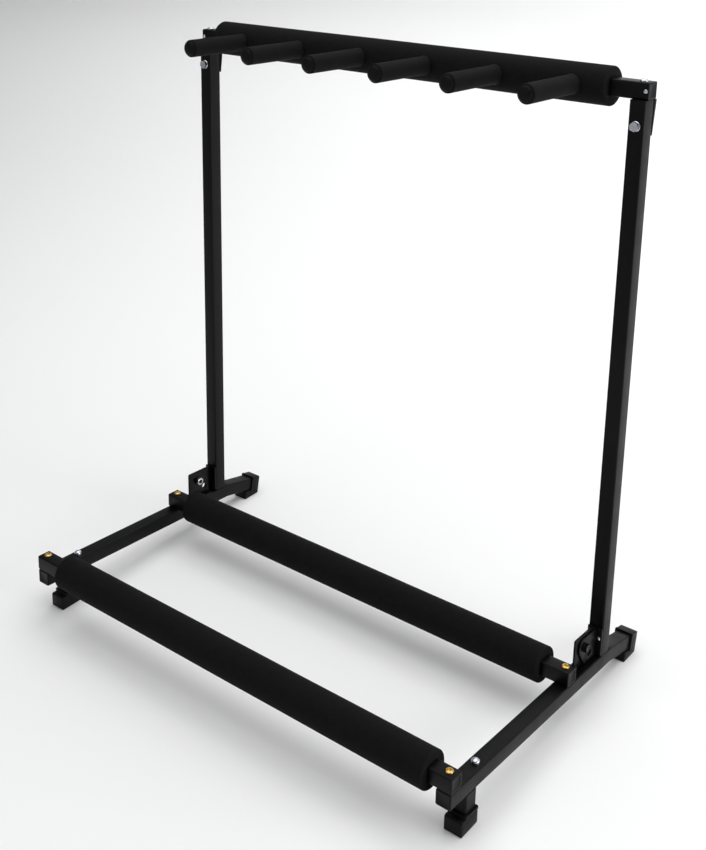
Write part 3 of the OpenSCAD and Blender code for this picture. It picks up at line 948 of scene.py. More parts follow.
class Repeater:
    """Geometry Nodes tree that sets copies of a shape on points, turned by a named attribute."""

    TURN = "turn"

    def __init__(self) -> None:
        """Builds the tree once, with named inputs."""
        self.tree = bpy.data.node_groups.new("set_copies_on_points", "GeometryNodeTree")
        face = self.tree.interface
        face.new_socket("Geometry", in_out="INPUT", socket_type="NodeSocketGeometry")
        face.new_socket("Shape", in_out="INPUT", socket_type="NodeSocketObject")
        face.new_socket("Finish", in_out="INPUT", socket_type="NodeSocketMaterial")
        face.new_socket("Twist", in_out="INPUT", socket_type="NodeSocketFloat")
        face.new_socket("Seed", in_out="INPUT", socket_type="NodeSocketInt")
        face.new_socket("Geometry", in_out="OUTPUT", socket_type="NodeSocketGeometry")
        given = add_node(self.tree, "NodeGroupInput").outputs
        shape = add_node(self.tree, "GeometryNodeObjectInfo", {"Object": given["Shape"]})
        turn = add_node(self.tree, "GeometryNodeInputNamedAttribute", {"Name": self.TURN},
                        data_type="FLOAT_VECTOR")
        base = add_node(self.tree, "FunctionNodeEulerToRotation", {0: turn.outputs[0]})
        least = add_node(self.tree, "ShaderNodeMath", {0: given["Twist"], 1: -1.0}, operation="MULTIPLY")
        twist = add_node(self.tree, "FunctionNodeRandomValue",
                         {"Seed": given["Seed"], 2: least.outputs[0], 3: given["Twist"]}, data_type="FLOAT")
        about = add_node(self.tree, "ShaderNodeCombineXYZ", {"Z": twist.outputs[1]})
        own = add_node(self.tree, "FunctionNodeEulerToRotation", {0: about.outputs[0]})
        full = add_node(self.tree, "FunctionNodeRotateRotation",
                        {0: base.outputs[0], 1: own.outputs[0]}, rotation_space="LOCAL")
        copies = add_node(self.tree, "GeometryNodeInstanceOnPoints",
                          {"Points": given["Geometry"], "Instance": shape.outputs["Geometry"],
                           "Rotation": full.outputs[0]})
        real = add_node(self.tree, "GeometryNodeRealizeInstances", {0: copies.outputs[0]})
        dressed = add_node(self.tree, "GeometryNodeSetMaterial",
                           {"Geometry": real.outputs[0], "Material": given["Finish"]})
        add_node(self.tree, "NodeGroupOutput", {0: dressed.outputs[0]})

    def identifier(self, name: str) -> str:
        """Identifier of a named input, by which a modifier sets it."""
        sockets = (item for item in self.tree.interface.items_tree if item.in_out == "INPUT")
        return next(item.identifier for item in sockets if item.name == name)

    def lay(self, piece: Piece, shape: bmesh.types.BMesh, places: Sequence[Matrix], bench: Bench,
            finishes: Finishes, twist: float = 0.0, seed: int = 7, smooth: float = 32.0) -> bpy.types.Object:
        """Sets a copy of a shape at each place and makes them one plain mesh.

        Args:
            piece: Name, body, slot and nodes of the group.
            shape: The shape, in millimetres, freed afterwards.
            places: Places in the rack's own millimetres.
            bench: The rack's sizes.
            finishes: Materials.
            twist: Largest random turn about each copy's own axis, in radians.
            seed: Seed of that turn.
            smooth: Edges sharper than this many degrees stay sharp.

        Returns:
            The group's object.
        """
        bmesh.ops.scale(shape, vec=(MM, MM, MM), verts=shape.verts)
        bmesh.ops.recalc_face_normals(shape, faces=shape.faces)
        shape_data = bpy.data.meshes.new("shape")
        shape.to_mesh(shape_data)
        shape.free()
        shape_object = bpy.data.objects.new("shape", shape_data)
        bpy.context.scene.collection.objects.link(shape_object)
        points = bpy.data.meshes.new("points")
        frames = [bench.matrix @ spot for spot in places]
        points.from_pydata([spot.translation for spot in frames], [], [])
        turns = points.attributes.new(self.TURN, "FLOAT_VECTOR", "POINT")
        for number, spot in enumerate(frames):
            turns.data[number].vector = spot.to_3x3().normalized().to_euler()
        holder = bpy.data.objects.new("points", points)
        bpy.context.scene.collection.objects.link(holder)
        modifier = holder.modifiers.new("copies", "NODES")
        modifier.node_group = self.tree
        values = {"Shape": shape_object, "Finish": finishes[piece.slot], "Twist": twist, "Seed": seed}
        for name, value in values.items():
            modifier[self.identifier(name)] = value
        depsgraph = bpy.context.evaluated_depsgraph_get()
        data = bpy.data.meshes.new_from_object(holder.evaluated_get(depsgraph))
        holder.modifiers.remove(modifier)
        bpy.data.objects.remove(holder)
        bpy.data.objects.remove(shape_object)
        data.name = piece.name
        if self.TURN in data.attributes:
            data.attributes.remove(data.attributes[self.TURN])
        for polygon in data.polygons:
            polygon.use_smooth = True
        data.set_sharp_from_angle(angle=math.radians(smooth))
        group = bpy.data.objects.new(piece.name, data)
        bpy.context.scene.collection.objects.link(group)
        return piece.declare(group)


@dataclass
class Workshop:
    """What every sub-assembly needs to build itself."""

    bench: Bench
    finishes: Finishes
    repeater: Repeater


# ---- sub-assemblies ----


@dataclass
class SideRails:
    """The two long base tubes, bent down behind the uprights, with their front plugs."""

    shop: Workshop
    plug_depth: float = 4.5
    bend_radius: float = 40.0
    bend_gap: float = 4.0
    stub: float = 66.0
    droop: float = math.radians(9.5)
    steps: int = 12

    def bend_y(self) -> float:
        """Where the bend starts, behind the upright's back face."""
        return self.shop.bench.centre("left_upright").y + self.shop.bench.tube / 2 + self.bend_gap

    def stations(self, x: float) -> list[Matrix]:
        """Stations of a rail's section: level, round the bend, then down the stub.

        Args:
            x: Middle of the rail.

        Returns:
            Places of the section, from the front end to the rear end.
        """
        bench = self.shop.bench
        half = bench.tube / 2
        front = -half + bench.plug
        stops = [place(x, front + (self.bend_y() - front) * share, -half, ALONG_Y) for share in (0.0, 0.5, 1.0)]
        hub = place(x, self.bend_y(), -self.bend_radius)
        for step in range(1, self.steps + 1):
            turn = Matrix.Rotation(-self.droop * step / self.steps, 4, "X")
            stops.append(hub @ turn @ place(0, 0, self.bend_radius - half, ALONG_Y))
        last = hub @ Matrix.Rotation(-self.droop, 4, "X")
        stops.append(last @ place(0, self.stub, self.bend_radius - half, ALONG_Y))
        return stops

    def build(self) -> None:
        """Builds both rails and both plugs."""
        bench, finishes = self.shop.bench, self.shop.finishes
        for side, name in zip(SIDES, ("left", "right")):
            x = side * bench.side_x
            rail = Piece(f"{name}_rail_tube", Body.BASE, Slot.COAT, (f"{name}_rail",))
            rail.finish([tube_length(bench, self.stations(x))], bench, finishes)
        plugs = Piece("rail_front_plugs", Body.BASE, Slot.PLASTIC, ("rail_plugs",))
        half = bench.tube / 2
        spots = [place(side * bench.side_x, -half + bench.plug, -half, TO_FRONT) for side in SIDES]
        self.shop.repeater.lay(plugs, end_plug(bench, bench.plug, self.plug_depth), spots, bench, finishes)


@dataclass
class Feet:
    """Moulded caps on the legs and on the rails' rear ends, cut level with the floor."""

    shop: Workshop
    rails: SideRails
    wall: float = 1.9
    edge: float = 1.1
    cap_height: float = 22.0
    toe_height: float = 18.0
    toe: float = 7.5
    sleeve: float = 15.0
    pad: float = 29.0
    pad_depth: float = 20.1
    collar: float = 3.2
    collar_proud: float = 0.7

    def leg_set(self) -> float:
        """Finds the legs from the lower front corner of a leg's tube.

        Returns:
            Middle of the front legs, back from the front crossbar.
        """
        bench = self.shop.bench
        low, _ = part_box("left_front_leg")
        corner = bench.local(Vector((0, low.y / MM, low.z / MM + bench.tube * math.sin(bench.lean))))
        return corner.y + bench.tube / 2

    def front_outline(self) -> list[Point]:
        """Side view of a front cap: a sleeve round the leg, with a toe ahead of it.

        Returns:
            The outline, anticlockwise.
        """
        bench = self.shop.bench
        half = bench.tube / 2 + self.wall
        middle = self.leg_set()
        floor = bench.floor_z
        top = floor(middle) + self.cap_height
        toe_top = floor(middle) + self.toe_height
        front, back = middle - half, middle + half
        toe = front - self.toe
        corners = [(toe, floor(toe)), (back, floor(back)), (back, top), (front, top), (front, toe_top),
                   (toe, toe_top)]
        return fillet(corners, [1.2, 1.2, 1.0, 1.0, 1.6, 3.0])

    def on_stub(self, along: float, depth: float) -> Point:
        """Point of a stub in the side view.

        Args:
            along: Distance from the end of the bend.
            depth: Depth below the stub's top face.

        Returns:
            The point.
        """
        cos, sin = math.cos(self.rails.droop), math.sin(self.rails.droop)
        up = self.rails.bend_radius - depth
        return self.rails.bend_y() + along * cos + up * sin, -self.rails.bend_radius - along * sin + up * cos

    def on_floor(self, along: float) -> Point:
        """Point where a line across the stub meets the floor.

        Args:
            along: Distance of the line from the end of the bend.

        Returns:
            The point.
        """
        (y0, z0), (y1, z1) = self.on_stub(along, 0.0), self.on_stub(along, 50.0)
        above, below = z0 - self.shop.bench.floor_z(y0), z1 - self.shop.bench.floor_z(y1)
        share = above / (above - below)
        return y0 + (y1 - y0) * share, z0 + (z1 - z0) * share

    def rear_outline(self) -> list[Point]:
        """Side view of a rear cap: a sleeve round the stub and a longer pad that reaches the floor.

        Returns:
            The outline, anticlockwise.
        """
        end = self.rails.stub + self.wall
        start, pad = self.rails.stub - self.sleeve, end - self.pad
        corners = [self.on_floor(pad), self.on_floor(end), self.on_stub(end, -self.wall),
                   self.on_stub(start, -self.wall), self.on_stub(start, self.pad_depth),
                   self.on_stub(pad, self.pad_depth)]
        return fillet(corners, [1.2, 1.2, 2.0, 0.8, 0.8, 1.6])

    def collar_ring(self, mouth: Matrix) -> bmesh.types.BMesh:
        """Thicker rim round a cap's mouth.

        Args:
            mouth: Place of the mouth, that looks out of it with +Z.

        Returns:
            The rim's mesh.
        """
        half = self.shop.bench.tube / 2
        outer, inner, low = half + self.wall + self.collar_proud, half + 0.3, -self.collar
        levels = [(outer - 0.4, low), (outer, low + 0.4), (outer, -0.4), (outer - 0.4, 0.0), (inner + 0.4, 0.0),
                  (inner, -0.4), (inner, low)]
        corner = self.shop.bench.corner
        rings = [[mouth @ Vector((x, y, z)) for x, y in square_outline(size, corner)] for size, z in levels]
        return loft(rings, closed=True)

    def build(self) -> None:
        """Builds the four caps."""
        bench, finishes = self.shop.bench, self.shop.finishes
        width = bench.tube + 2 * self.wall
        top = bench.floor_z(self.leg_set()) + self.cap_height
        stub = self.rails.stations(0.0)[-1]
        for side, name in zip(SIDES, ("left", "right")):
            x = side * bench.side_x
            across = Matrix.Translation((x, 0, 0))
            mouths = {"front": place(x, self.leg_set(), top),
                      "rear": across @ stub @ Matrix.Translation((0, 0, -self.sleeve)) @ DOWN}
            for end, outline in (("front", self.front_outline()), ("rear", self.rear_outline())):
                cap = Piece(f"{name}_{end}_foot_cap", Body.BASE, Slot.PLASTIC, (f"{name}_{end}_foot",))
                solid = on_side_view(plate(outline, width, self.edge), x)
                cap.finish([solid, self.collar_ring(mouths[end])], bench, finishes)


@dataclass
class Crossbar:
    """A square-tube crossbar with its end plugs, screws and foam sleeve."""

    shop: Workshop
    name: str
    body: Body
    screw_slot: Slot
    prefix: str
    screw_y: float = 0.0
    rivets: bool = False
    plug_depth: float = 4.5
    foam_radius: float = 23.25
    screw_reach: float = 26.0
    screw_radius: float = 2.5
    screw_head_radius: float = 5.0
    screw_head_height: float = 3.0
    rivet_radius: float = 1.5
    rivet_length: float = 3.5

    def build(self) -> None:
        """Builds the bar, the plugs, the screws and the foam."""
        bench, finishes, repeater = self.shop.bench, self.shop.finishes, self.shop.repeater
        middle = bench.centre(f"{self.name}_crossbar")
        y, z = middle.y, middle.z
        reach = bench.half_w - bench.plug
        stations = [place(x, y, z, ALONG_X) for x in (-reach, 0.0, reach)]
        bar = Piece(f"{self.name}_crossbar_tube", self.body, Slot.COAT, (f"{self.name}_crossbar",))
        bar.finish([tube_length(bench, stations)], bench, finishes)
        plugs = Piece(f"{self.prefix}_plugs_moulded", self.body, Slot.PLASTIC, (f"{self.prefix}_plugs",))
        ends = [place(-reach, y, z, TO_LEFT), place(reach, y, z, ALONG_X)]
        repeater.lay(plugs, end_plug(bench, bench.plug, self.plug_depth), ends, bench, finishes)
        screws = Piece(f"{self.prefix}_screws_plated", self.body, self.screw_slot, (f"{self.prefix}_screws",))
        spots = [place(side * bench.side_x, y + self.screw_y, z + bench.tube / 2) for side in SIDES]
        head = cross_recess_head(self.screw_head_radius, self.screw_head_height, self.screw_radius,
                                 self.screw_reach)
        repeater.lay(screws, head, spots, bench, finishes, twist=0.8, seed=len(self.name))
        if self.rivets:
            rivets = Piece(f"{self.prefix}_rivets_plated", self.body, Slot.ZINC, (f"{self.prefix}_rivets",))
            out = reach - self.plug_depth / 2
            spots = [place(side * out, y - bench.tube / 2, z, TO_FRONT) for side in SIDES]
            repeater.lay(rivets, rivet(self.rivet_radius, self.rivet_length), spots, bench, finishes)
        self.sleeve(y, z)

    def sleeve(self, y: float, z: float) -> None:
        """Builds the foam sleeve: a closed tube with soft ends that grips the square bar.

        Args:
            y: Middle of the bar.
            z: Middle of the bar.
        """
        bench, finishes = self.shop.bench, self.shop.finishes
        low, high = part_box(f"{self.name}_foam")
        start, end = low.x / MM, high.x / MM
        count, rows, soft, steps = 96, 150, 2.2, 5
        half = bench.tube / 2 + 0.1
        angles = [2 * math.pi * i / count for i in range(count)]

        def bore(angle: float) -> float:
            """Distance from the middle to the square hole's wall."""
            return min(half / max(abs(math.cos(angle)), abs(math.sin(angle))), half * 1.3)

        def ring(x: float, inset: float, share: float = 1.0) -> Ring:
            """Ring of points round the sleeve.

            Args:
                x: Place along the bar.
                inset: Depth below the sleeve's skin.
                share: 0 at the bore's wall and 1 at that depth.

            Returns:
                The ring.
            """
            points = []
            for a in angles:
                lump = math.sin(x / 37 + 2 * a) + math.sin(x / 83 - a + len(self.name))
                skin = self.foam_radius - 0.12 + 0.06 * lump - inset
                radius = bore(a) + (skin - bore(a)) * share
                points.append(Vector((x, y + radius * math.cos(a), z + radius * math.sin(a))))
            return points

        def end_rings(near: float, inward: float) -> list[Ring]:
            """Rings of a soft end, from the bore out to the skin.

            Args:
                near: Place of the end along the bar.
                inward: 1 if the sleeve lies to the right of it, and -1 if to the left.

            Returns:
                The rings.
            """
            rings = [ring(near + inward * 0.5, soft, 0.0), ring(near + inward * 0.25, soft, 0.12),
                     ring(near, soft, 0.5)]
            for step in range(steps + 1):
                angle = math.pi / 2 * step / steps
                rings.append(ring(near + inward * soft * (1 - math.cos(angle)), soft * (1 - math.sin(angle))))
            return rings

        body = [ring(start + soft + (end - start - 2 * soft) * i / rows, 0.0) for i in range(1, rows)]
        mesh = loft(end_rings(start, 1) + body + end_rings(end, -1)[::-1], closed=True)
        piece = Piece(f"{self.name}_foam_sleeve", self.body, Slot.FOAM, (f"{self.name}_foam",))
        piece.finish([mesh], bench, finishes, smooth=60)


@dataclass
class Pegs:
    """Six padded pegs: foam sleeves coped to the crossbar's foam, and domed caps on their ends."""

    shop: Workshop
    sleeve_radius: float = 11.75
    bar_foam_radius: float = 23.25
    rod_radius: float = 6.0
    flare: float = 0.55
    flare_reach: float = 4.0
    cap_radius: float = 10.0
    cap_height: float = 4.0
    cap_stem_radius: float = 4.4
    cap_stem_depth: float = 8.0

    def sleeve(self, x: float, number: int) -> bmesh.types.BMesh:
        """Foam sleeve of a peg.

        Args:
            x: Middle of the peg.
            number: Which peg it is, for its own slight unevenness.

        Returns:
            The sleeve's mesh.
        """
        bar = self.shop.bench.centre("top_crossbar")
        tip = self.tip_y()
        count, rows, soft = 64, 44, 1.6
        length = bar.y - self.bar_foam_radius - tip
        angles = [2 * math.pi * i / count for i in range(count)]

        def root(z: float) -> float:
            """Where the sleeve meets the bar's foam, at a height over its middle."""
            return bar.y - math.sqrt(self.bar_foam_radius**2 - z**2) - 0.3

        def ring(share: float, radius: float) -> Ring:
            """Ring of points round the peg.

            Args:
                share: 0 at the root and 1 at the tip.
                radius: Radius of the ring.

            Returns:
                The ring.
            """
            points = []
            flare = self.flare * math.exp(-((share * length / self.flare_reach) ** 2))
            lip = flare if radius > self.rod_radius + 1 else 0.0
            for a in angles:
                base = root(radius * math.sin(a))
                wide = radius + lip + 0.05 * math.sin(5 * share + a * 2 + number)
                y = base + (tip - base) * share
                points.append(Vector((x + wide * math.cos(a), y, bar.z + wide * math.sin(a))))
            return points

        skin = self.sleeve_radius - 0.15
        rings = [ring(0.0, self.rod_radius), ring(0.0, skin - 1.0), ring(0.006, skin - 0.2)]
        rings += [ring(0.012 + (1 - 0.012 - soft / length) * i / rows, skin) for i in range(rows + 1)]
        for step in range(1, 6):
            angle = math.pi / 2 * step / 5
            rings.append(ring(1 - soft / length * (1 - math.sin(angle)), skin - soft * (1 - math.cos(angle))))
        rings += [ring(1.0, self.rod_radius + 0.6), ring(0.99, self.rod_radius)]
        return loft(rings, closed=True)

    def tip_y(self) -> float:
        """Where the pegs' foam ends."""
        bench = self.shop.bench
        return bench.centre("peg_rod_1").y - bench.reach("peg_rod_1", 2 * self.rod_radius, 1) / 2

    def build(self) -> None:
        """Builds the foam sleeves and the caps."""
        bench, finishes = self.shop.bench, self.shop.finishes
        bar = bench.centre("top_crossbar")
        for number in range(1, PEG_COUNT + 1):
            x = bench.centre(f"peg_rod_{number}").x
            foam = Piece(f"peg_{number}_foam_sleeve", Body.BACK, Slot.FOAM, (f"peg_foam_{number}",))
            foam.finish([self.sleeve(x, number)], bench, finishes, smooth=60)
            cap = Piece(f"peg_{number}_end_cap", Body.BACK, Slot.PLASTIC, (f"peg_cap_{number}",))
            spot = place(x, self.tip_y(), bar.z, TO_FRONT)
            cap.finish([turned(self.cap(), spot)], bench, finishes)

    def cap(self) -> bmesh.types.BMesh:
        """Domed cap with a small step round its edge.

        Returns:
            The cap's mesh, with the foam's end at Z = 0.
        """
        r, h = self.cap_radius, self.cap_height
        stem, depth = self.cap_stem_radius, self.cap_stem_depth
        profile = [(stem, -depth), (stem, 0.0), (r - 0.5, 0.0), (r, 0.4), (r, 1.2), (r - 0.5, 1.6),
                   (r - 1.1, 1.7)]
        for step in range(1, 10):
            angle = math.pi / 2 * step / 10
            profile.append(((r - 1.1) * math.cos(angle), 1.7 + (h - 1.7) * math.sin(angle)))
        return lathe(profile)


@dataclass
class Uprights:
    """The two posts with their heel plugs and the brackets behind their tops."""

    shop: Workshop
    heel_flange: float = 2.0
    plug_depth: float = 4.5
    bracket_thickness: float = 2.0
    bolt_drop: float = 49.0
    tail: float = 12.0
    cheek_flare: float = 5.0
    edge: float = 0.35
    bore: float = 3.0
    washer_radius: float = 6.0
    washer: float = 1.6
    across: float = 10.0
    head_height: float = 4.0
    nut_height: float = 5.0
    shank: float = 2.9
    shank_length: float = 29.6

    def build(self) -> None:
        """Builds posts, heels, brackets and the brackets' fasteners."""
        bench, finishes = self.shop.bench, self.shop.finishes
        half = bench.tube / 2
        for side, name in zip(SIDES, ("left", "right")):
            x = side * bench.side_x
            middle = bench.centre(f"{name}_upright")
            length = bench.reach(f"{name}_upright", bench.tube, 2)
            y, foot, top = middle.y, middle.z - length / 2, middle.z + length / 2
            post = Piece(f"{name}_upright_tube", Body.BACK, Slot.COAT, (f"{name}_upright",))
            stations = [place(x, y, z) for z in (foot, (foot + top) / 2, top)]
            post.finish([tube_length(bench, stations)], bench, finishes)
            plug = Piece(f"{name}_heel_plug_moulded", Body.BACK, Slot.PLASTIC, (f"{name}_heel_plug",))
            moulding = end_plug(bench, self.heel_flange, self.plug_depth)
            plug.finish([turned(moulding, place(x, y, foot, DOWN))], bench, finishes)
            self.bracket(name, x, y + half, top)
        self.fasteners()

    def bracket(self, name: str, x: float, y: float, top: float) -> None:
        """Builds one folded bracket: a web with two tapering cheeks.

        Args:
            name: Side of the rack.
            x: Middle of the post.
            y: Back face of the post.
            top: Underside of the crossbar.
        """
        bench = self.shop.bench
        t = self.bracket_thickness
        half = bench.tube / 2
        low = top + bench.tube - self.bolt_drop - self.tail
        corners = [(y, low), (y + t, low), (y + t + self.cheek_flare, top), (y, top)]
        cheek = fillet(corners, [0.3, 0.8, 0.3, 0.3])
        cheeks = [on_side_view(plate(cheek, t, self.edge), x + s * (half - t / 2)) for s in SIDES]
        web = plate(fillet([(-half, low), (half, low), (half, top), (-half, top)], [0.8] * 4), t, self.edge,
                    [((0.0, top + bench.tube - self.bolt_drop), self.bore)])
        web = on_front_view(web, x, y + t / 2)
        piece = Piece(f"{name}_top_bracket_folded", Body.BACK, Slot.COAT, (f"{name}_top_bracket",))
        piece.finish([web, *cheeks], bench, self.shop.finishes)

    def fasteners(self) -> None:
        """Builds the bracket bolts with their washers and nuts."""
        bench, finishes, repeater = self.shop.bench, self.shop.finishes, self.shop.repeater
        half = bench.tube / 2
        y = bench.centre("left_upright").y
        z = bench.centre("top_crossbar").z + half - self.bolt_drop
        front = [place(s * bench.side_x, y - half, z, TO_FRONT) for s in SIDES]
        washers = Piece("bracket_washers_plated", Body.BACK, Slot.ZINC, ("bracket_washers",))
        repeater.lay(washers, washer_block(self.washer_radius, self.bore, self.washer), front, bench, finishes)
        bolts = Piece("bracket_bolts_plated", Body.BACK, Slot.ZINC, ("bracket_bolts",))
        heads = [place(s * bench.side_x, y - half - self.washer, z, TO_FRONT) for s in SIDES]
        end, broken = -self.shank_length, 0.4
        shank = lathe([(self.shank - broken, end), (self.shank, end + broken), (self.shank, 0.0)])
        shape = join([hex_block(self.across, self.head_height), shank])
        repeater.lay(bolts, shape, heads, bench, finishes, twist=0.6, seed=3)
        nuts = Piece("bracket_nuts_plated", Body.BACK, Slot.ZINC, ("bracket_nuts",))
        back = [place(s * bench.side_x, y + half + self.bracket_thickness, z, ALONG_Y) for s in SIDES]
        shape = hex_block(self.across, self.nut_height, self.bore, True)
        repeater.lay(nuts, shape, back, bench, finishes, twist=0.6, seed=5)


@dataclass
class Hinges:
    """The folding hinges: a fixed ear on each rail, a moving ear on each upright, and the pins."""

    shop: Workshop
    pivot: Vector
    thickness: float = 2.5
    gap: float = 0.3
    radius: float = 12.0
    lock_radius: float = 4.7
    lock_offset: float = 14.5
    front_reach: float = 18.0
    back_reach: float = 23.4
    height: float = 15.0
    foot: float = 2.5
    washer: float = 1.6
    washer_radius: float = 6.0
    across: float = 10.0
    head_height: float = 4.0
    nut_height: float = 5.0
    pin_radius: float = 3.0
    play: float = 0.06
    edge: float = 0.4
    rivet_radius: float = 1.5
    rivet_length: float = 6.0
    rivet_up: float = 26.0

    def holes(self) -> list[tuple[Point, float]]:
        """Holes for the pin and for the lock, in the side view.

        Returns:
            Middle and radius of each hole.
        """
        y, z = self.pivot.y, self.pivot.z
        lock = (y + self.lock_offset, z - self.lock_offset)
        return [((y, z), self.pin_radius + self.play), (lock, self.lock_radius)]

    def build(self) -> None:
        """Builds the ears, the pins and the rivets."""
        bench, finishes = self.shop.bench, self.shop.finishes
        t, half = self.thickness, bench.tube / 2
        y, top = self.pivot.y, self.pivot.z + self.radius
        high = self.pivot.z + self.height
        flange = bench.centre("left_upright").y - half - t
        front, back = y - self.front_reach, y + self.back_reach
        fixed = fillet([(front, 0.0), (back, 0.0), (back, high), (front, high)], [0.6, 0.6, 4.0, 2.5])
        nose = arc_profile((y, self.pivot.z), self.radius, 90, 225, 24)
        moving = [*nose, (y + 2, self.foot), (flange + t, self.foot), (flange + t, top)]
        for side, name in zip(SIDES, ("left", "right")):
            middle = side * bench.side_x
            inner = middle - side * (self.gap + t) / 2
            outer = middle + side * (self.gap + t) / 2
            near = -self.gap / 2
            foot = plate([(-half, front), (near, front), (near, back), (-half, back)], t, self.edge)
            bmesh.ops.transform(foot, matrix=Matrix.Diagonal((side, 1, 1, 1)), verts=foot.verts)
            parts = [on_side_view(plate(fixed, t, self.edge, self.holes()), inner),
                     turned(foot, place(middle, 0, t / 2))]
            rail_ear = Piece(f"{name}_fixed_hinge_ear", Body.BASE, Slot.COAT, (f"{name}_rail_ear",))
            rail_ear.finish(parts, bench, finishes)
            corners = [(-half, self.foot), (half, self.foot), (half, top), (-half, top)]
            web = on_front_view(plate(fillet(corners, [1.0] * 4), t, self.edge), middle, flange + t / 2)
            parts = [on_side_view(plate(moving, t, self.edge, self.holes()), outer), web]
            post_ear = Piece(f"{name}_moving_hinge_ear", Body.BACK, Slot.COAT, (f"{name}_upright_ear",))
            post_ear.finish(parts, bench, finishes)
        self.pins()
        self.rivets(flange)

    def pins(self) -> None:
        """Builds the hinge bolts, their washers and their nuts."""
        bench, finishes, repeater = self.shop.bench, self.shop.finishes, self.shop.repeater
        y, z = self.pivot.y, self.pivot.z
        pack = self.gap / 2 + self.thickness

        def outward(side: int, offset: float, out: bool = True) -> Matrix:
            """Place at a distance outside the ears' middle, that looks outwards or inwards."""
            looks = ALONG_X if (side > 0) == out else TO_LEFT
            return place(side * (bench.side_x + offset), y, z, looks)

        washers = Piece("hinge_washers_blackened", Body.BASE, Slot.STEEL, ("hinge_washers",))
        spots = [outward(s, pack) for s in SIDES] + [outward(s, -pack, False) for s in SIDES]
        shape = washer_block(self.washer_radius, self.pin_radius + self.play, self.washer)
        repeater.lay(washers, shape, spots, bench, finishes)
        length = 2 * (pack + self.washer) + self.nut_height + 1
        bolts = Piece("hinge_bolts_blackened", Body.BASE, Slot.STEEL, ("hinge_bolts",))
        broken = 0.5
        shank = lathe([(self.pin_radius - broken, -length), (self.pin_radius, -length + broken),
                       (self.pin_radius, 0.0)])
        shape = join([hex_block(self.across, self.head_height), shank])
        spots = [outward(s, pack + self.washer) for s in SIDES]
        repeater.lay(bolts, shape, spots, bench, finishes, twist=0.5, seed=11)
        nuts = Piece("hinge_nuts_plated", Body.BASE, Slot.ZINC, ("hinge_nuts",))
        spots = [outward(s, -pack - self.washer, False) for s in SIDES]
        shape = hex_block(self.across, self.nut_height, self.pin_radius + self.play, True)
        repeater.lay(nuts, shape, spots, bench, finishes, twist=0.5, seed=12)

    def rivets(self, flange: float) -> None:
        """Builds the rivets that hold the moving ears on the uprights.

        Args:
            flange: Front face of the ears' flanges.
        """
        bench = self.shop.bench
        rivets = Piece("hinge_rivets_plated", Body.BACK, Slot.ZINC, ("ear_rivets",))
        shape = rivet(self.rivet_radius, self.rivet_length)
        out = (self.gap / 2 + self.thickness + bench.tube / 2 - bench.wall) / 2
        spots = [place(side * (bench.side_x + out), flange, self.rivet_up, TO_FRONT) for side in SIDES]
        self.shop.repeater.lay(rivets, shape, spots, bench, self.shop.finishes)


@dataclass
class LegBolts:
    """The round-headed bolts on top of the rails that hold the front legs."""

    shop: Workshop
    gap: float = 20.5
    head_radius: float = 5.0
    head_height: float = 6.0
    shank: float = 2.9

    def build(self, leg_set: float) -> None:
        """Builds both bolts.

        Args:
            leg_set: Middle of the front legs.
        """
        bench, finishes = self.shop.bench, self.shop.finishes
        bolts = Piece("leg_bolts_plated", Body.BASE, Slot.ZINC, ("leg_bolts",))
        shape = dome_head(self.head_radius, self.head_height, self.shank, 11.0, self.head_height * 0.45)
        spots = [place(side * bench.side_x, leg_set + self.gap, 0) for side in SIDES]
        self.shop.repeater.lay(bolts, shape, spots, bench, finishes)


@dataclass
class CarriedOver:
    """The CAD nodes whose shape is already right, which only get their finish."""

    finishes: Finishes
    nodes: dict[str, bpy.types.Object]

    def dress(self) -> None:
        """Gives each node its material."""
        slots = {"left_front_leg": Slot.COAT, "right_front_leg": Slot.COAT, "leg_nuts": Slot.ZINC,
                 "upright_inserts": Slot.PLASTIC}
        slots.update({f"peg_rod_{i}": Slot.COAT for i in range(1, PEG_COUNT + 1)})
        for name, slot in slots.items():
            node = self.nodes[name]
            node.data.materials.clear()
            node.data.materials.append(self.finishes[slot])
            log.info("%s: carried over from the frame", name)


@dataclass(frozen=True)
class Softbox:
    """A rectangular soft light: its place and size in metres, and its power in watts."""

    name: str
    spot: tuple[float, float, float]
    size: tuple[float, float]
    power: float

    def hang(self, aim: Vector) -> None:
        """Adds the light to the scene.

        Args:
            aim: Point that it faces.
        """
        light = bpy.data.lights.new(self.name, "AREA")
        light.shape = "RECTANGLE"
        light.size, light.size_y = self.size
        light.energy = self.power
        box = bpy.data.objects.new(self.name, light)
        box.location = self.spot
        box.rotation_euler = (aim - Vector(self.spot)).to_track_quat("-Z", "Y").to_euler()
        bpy.context.scene.collection.objects.link(box)


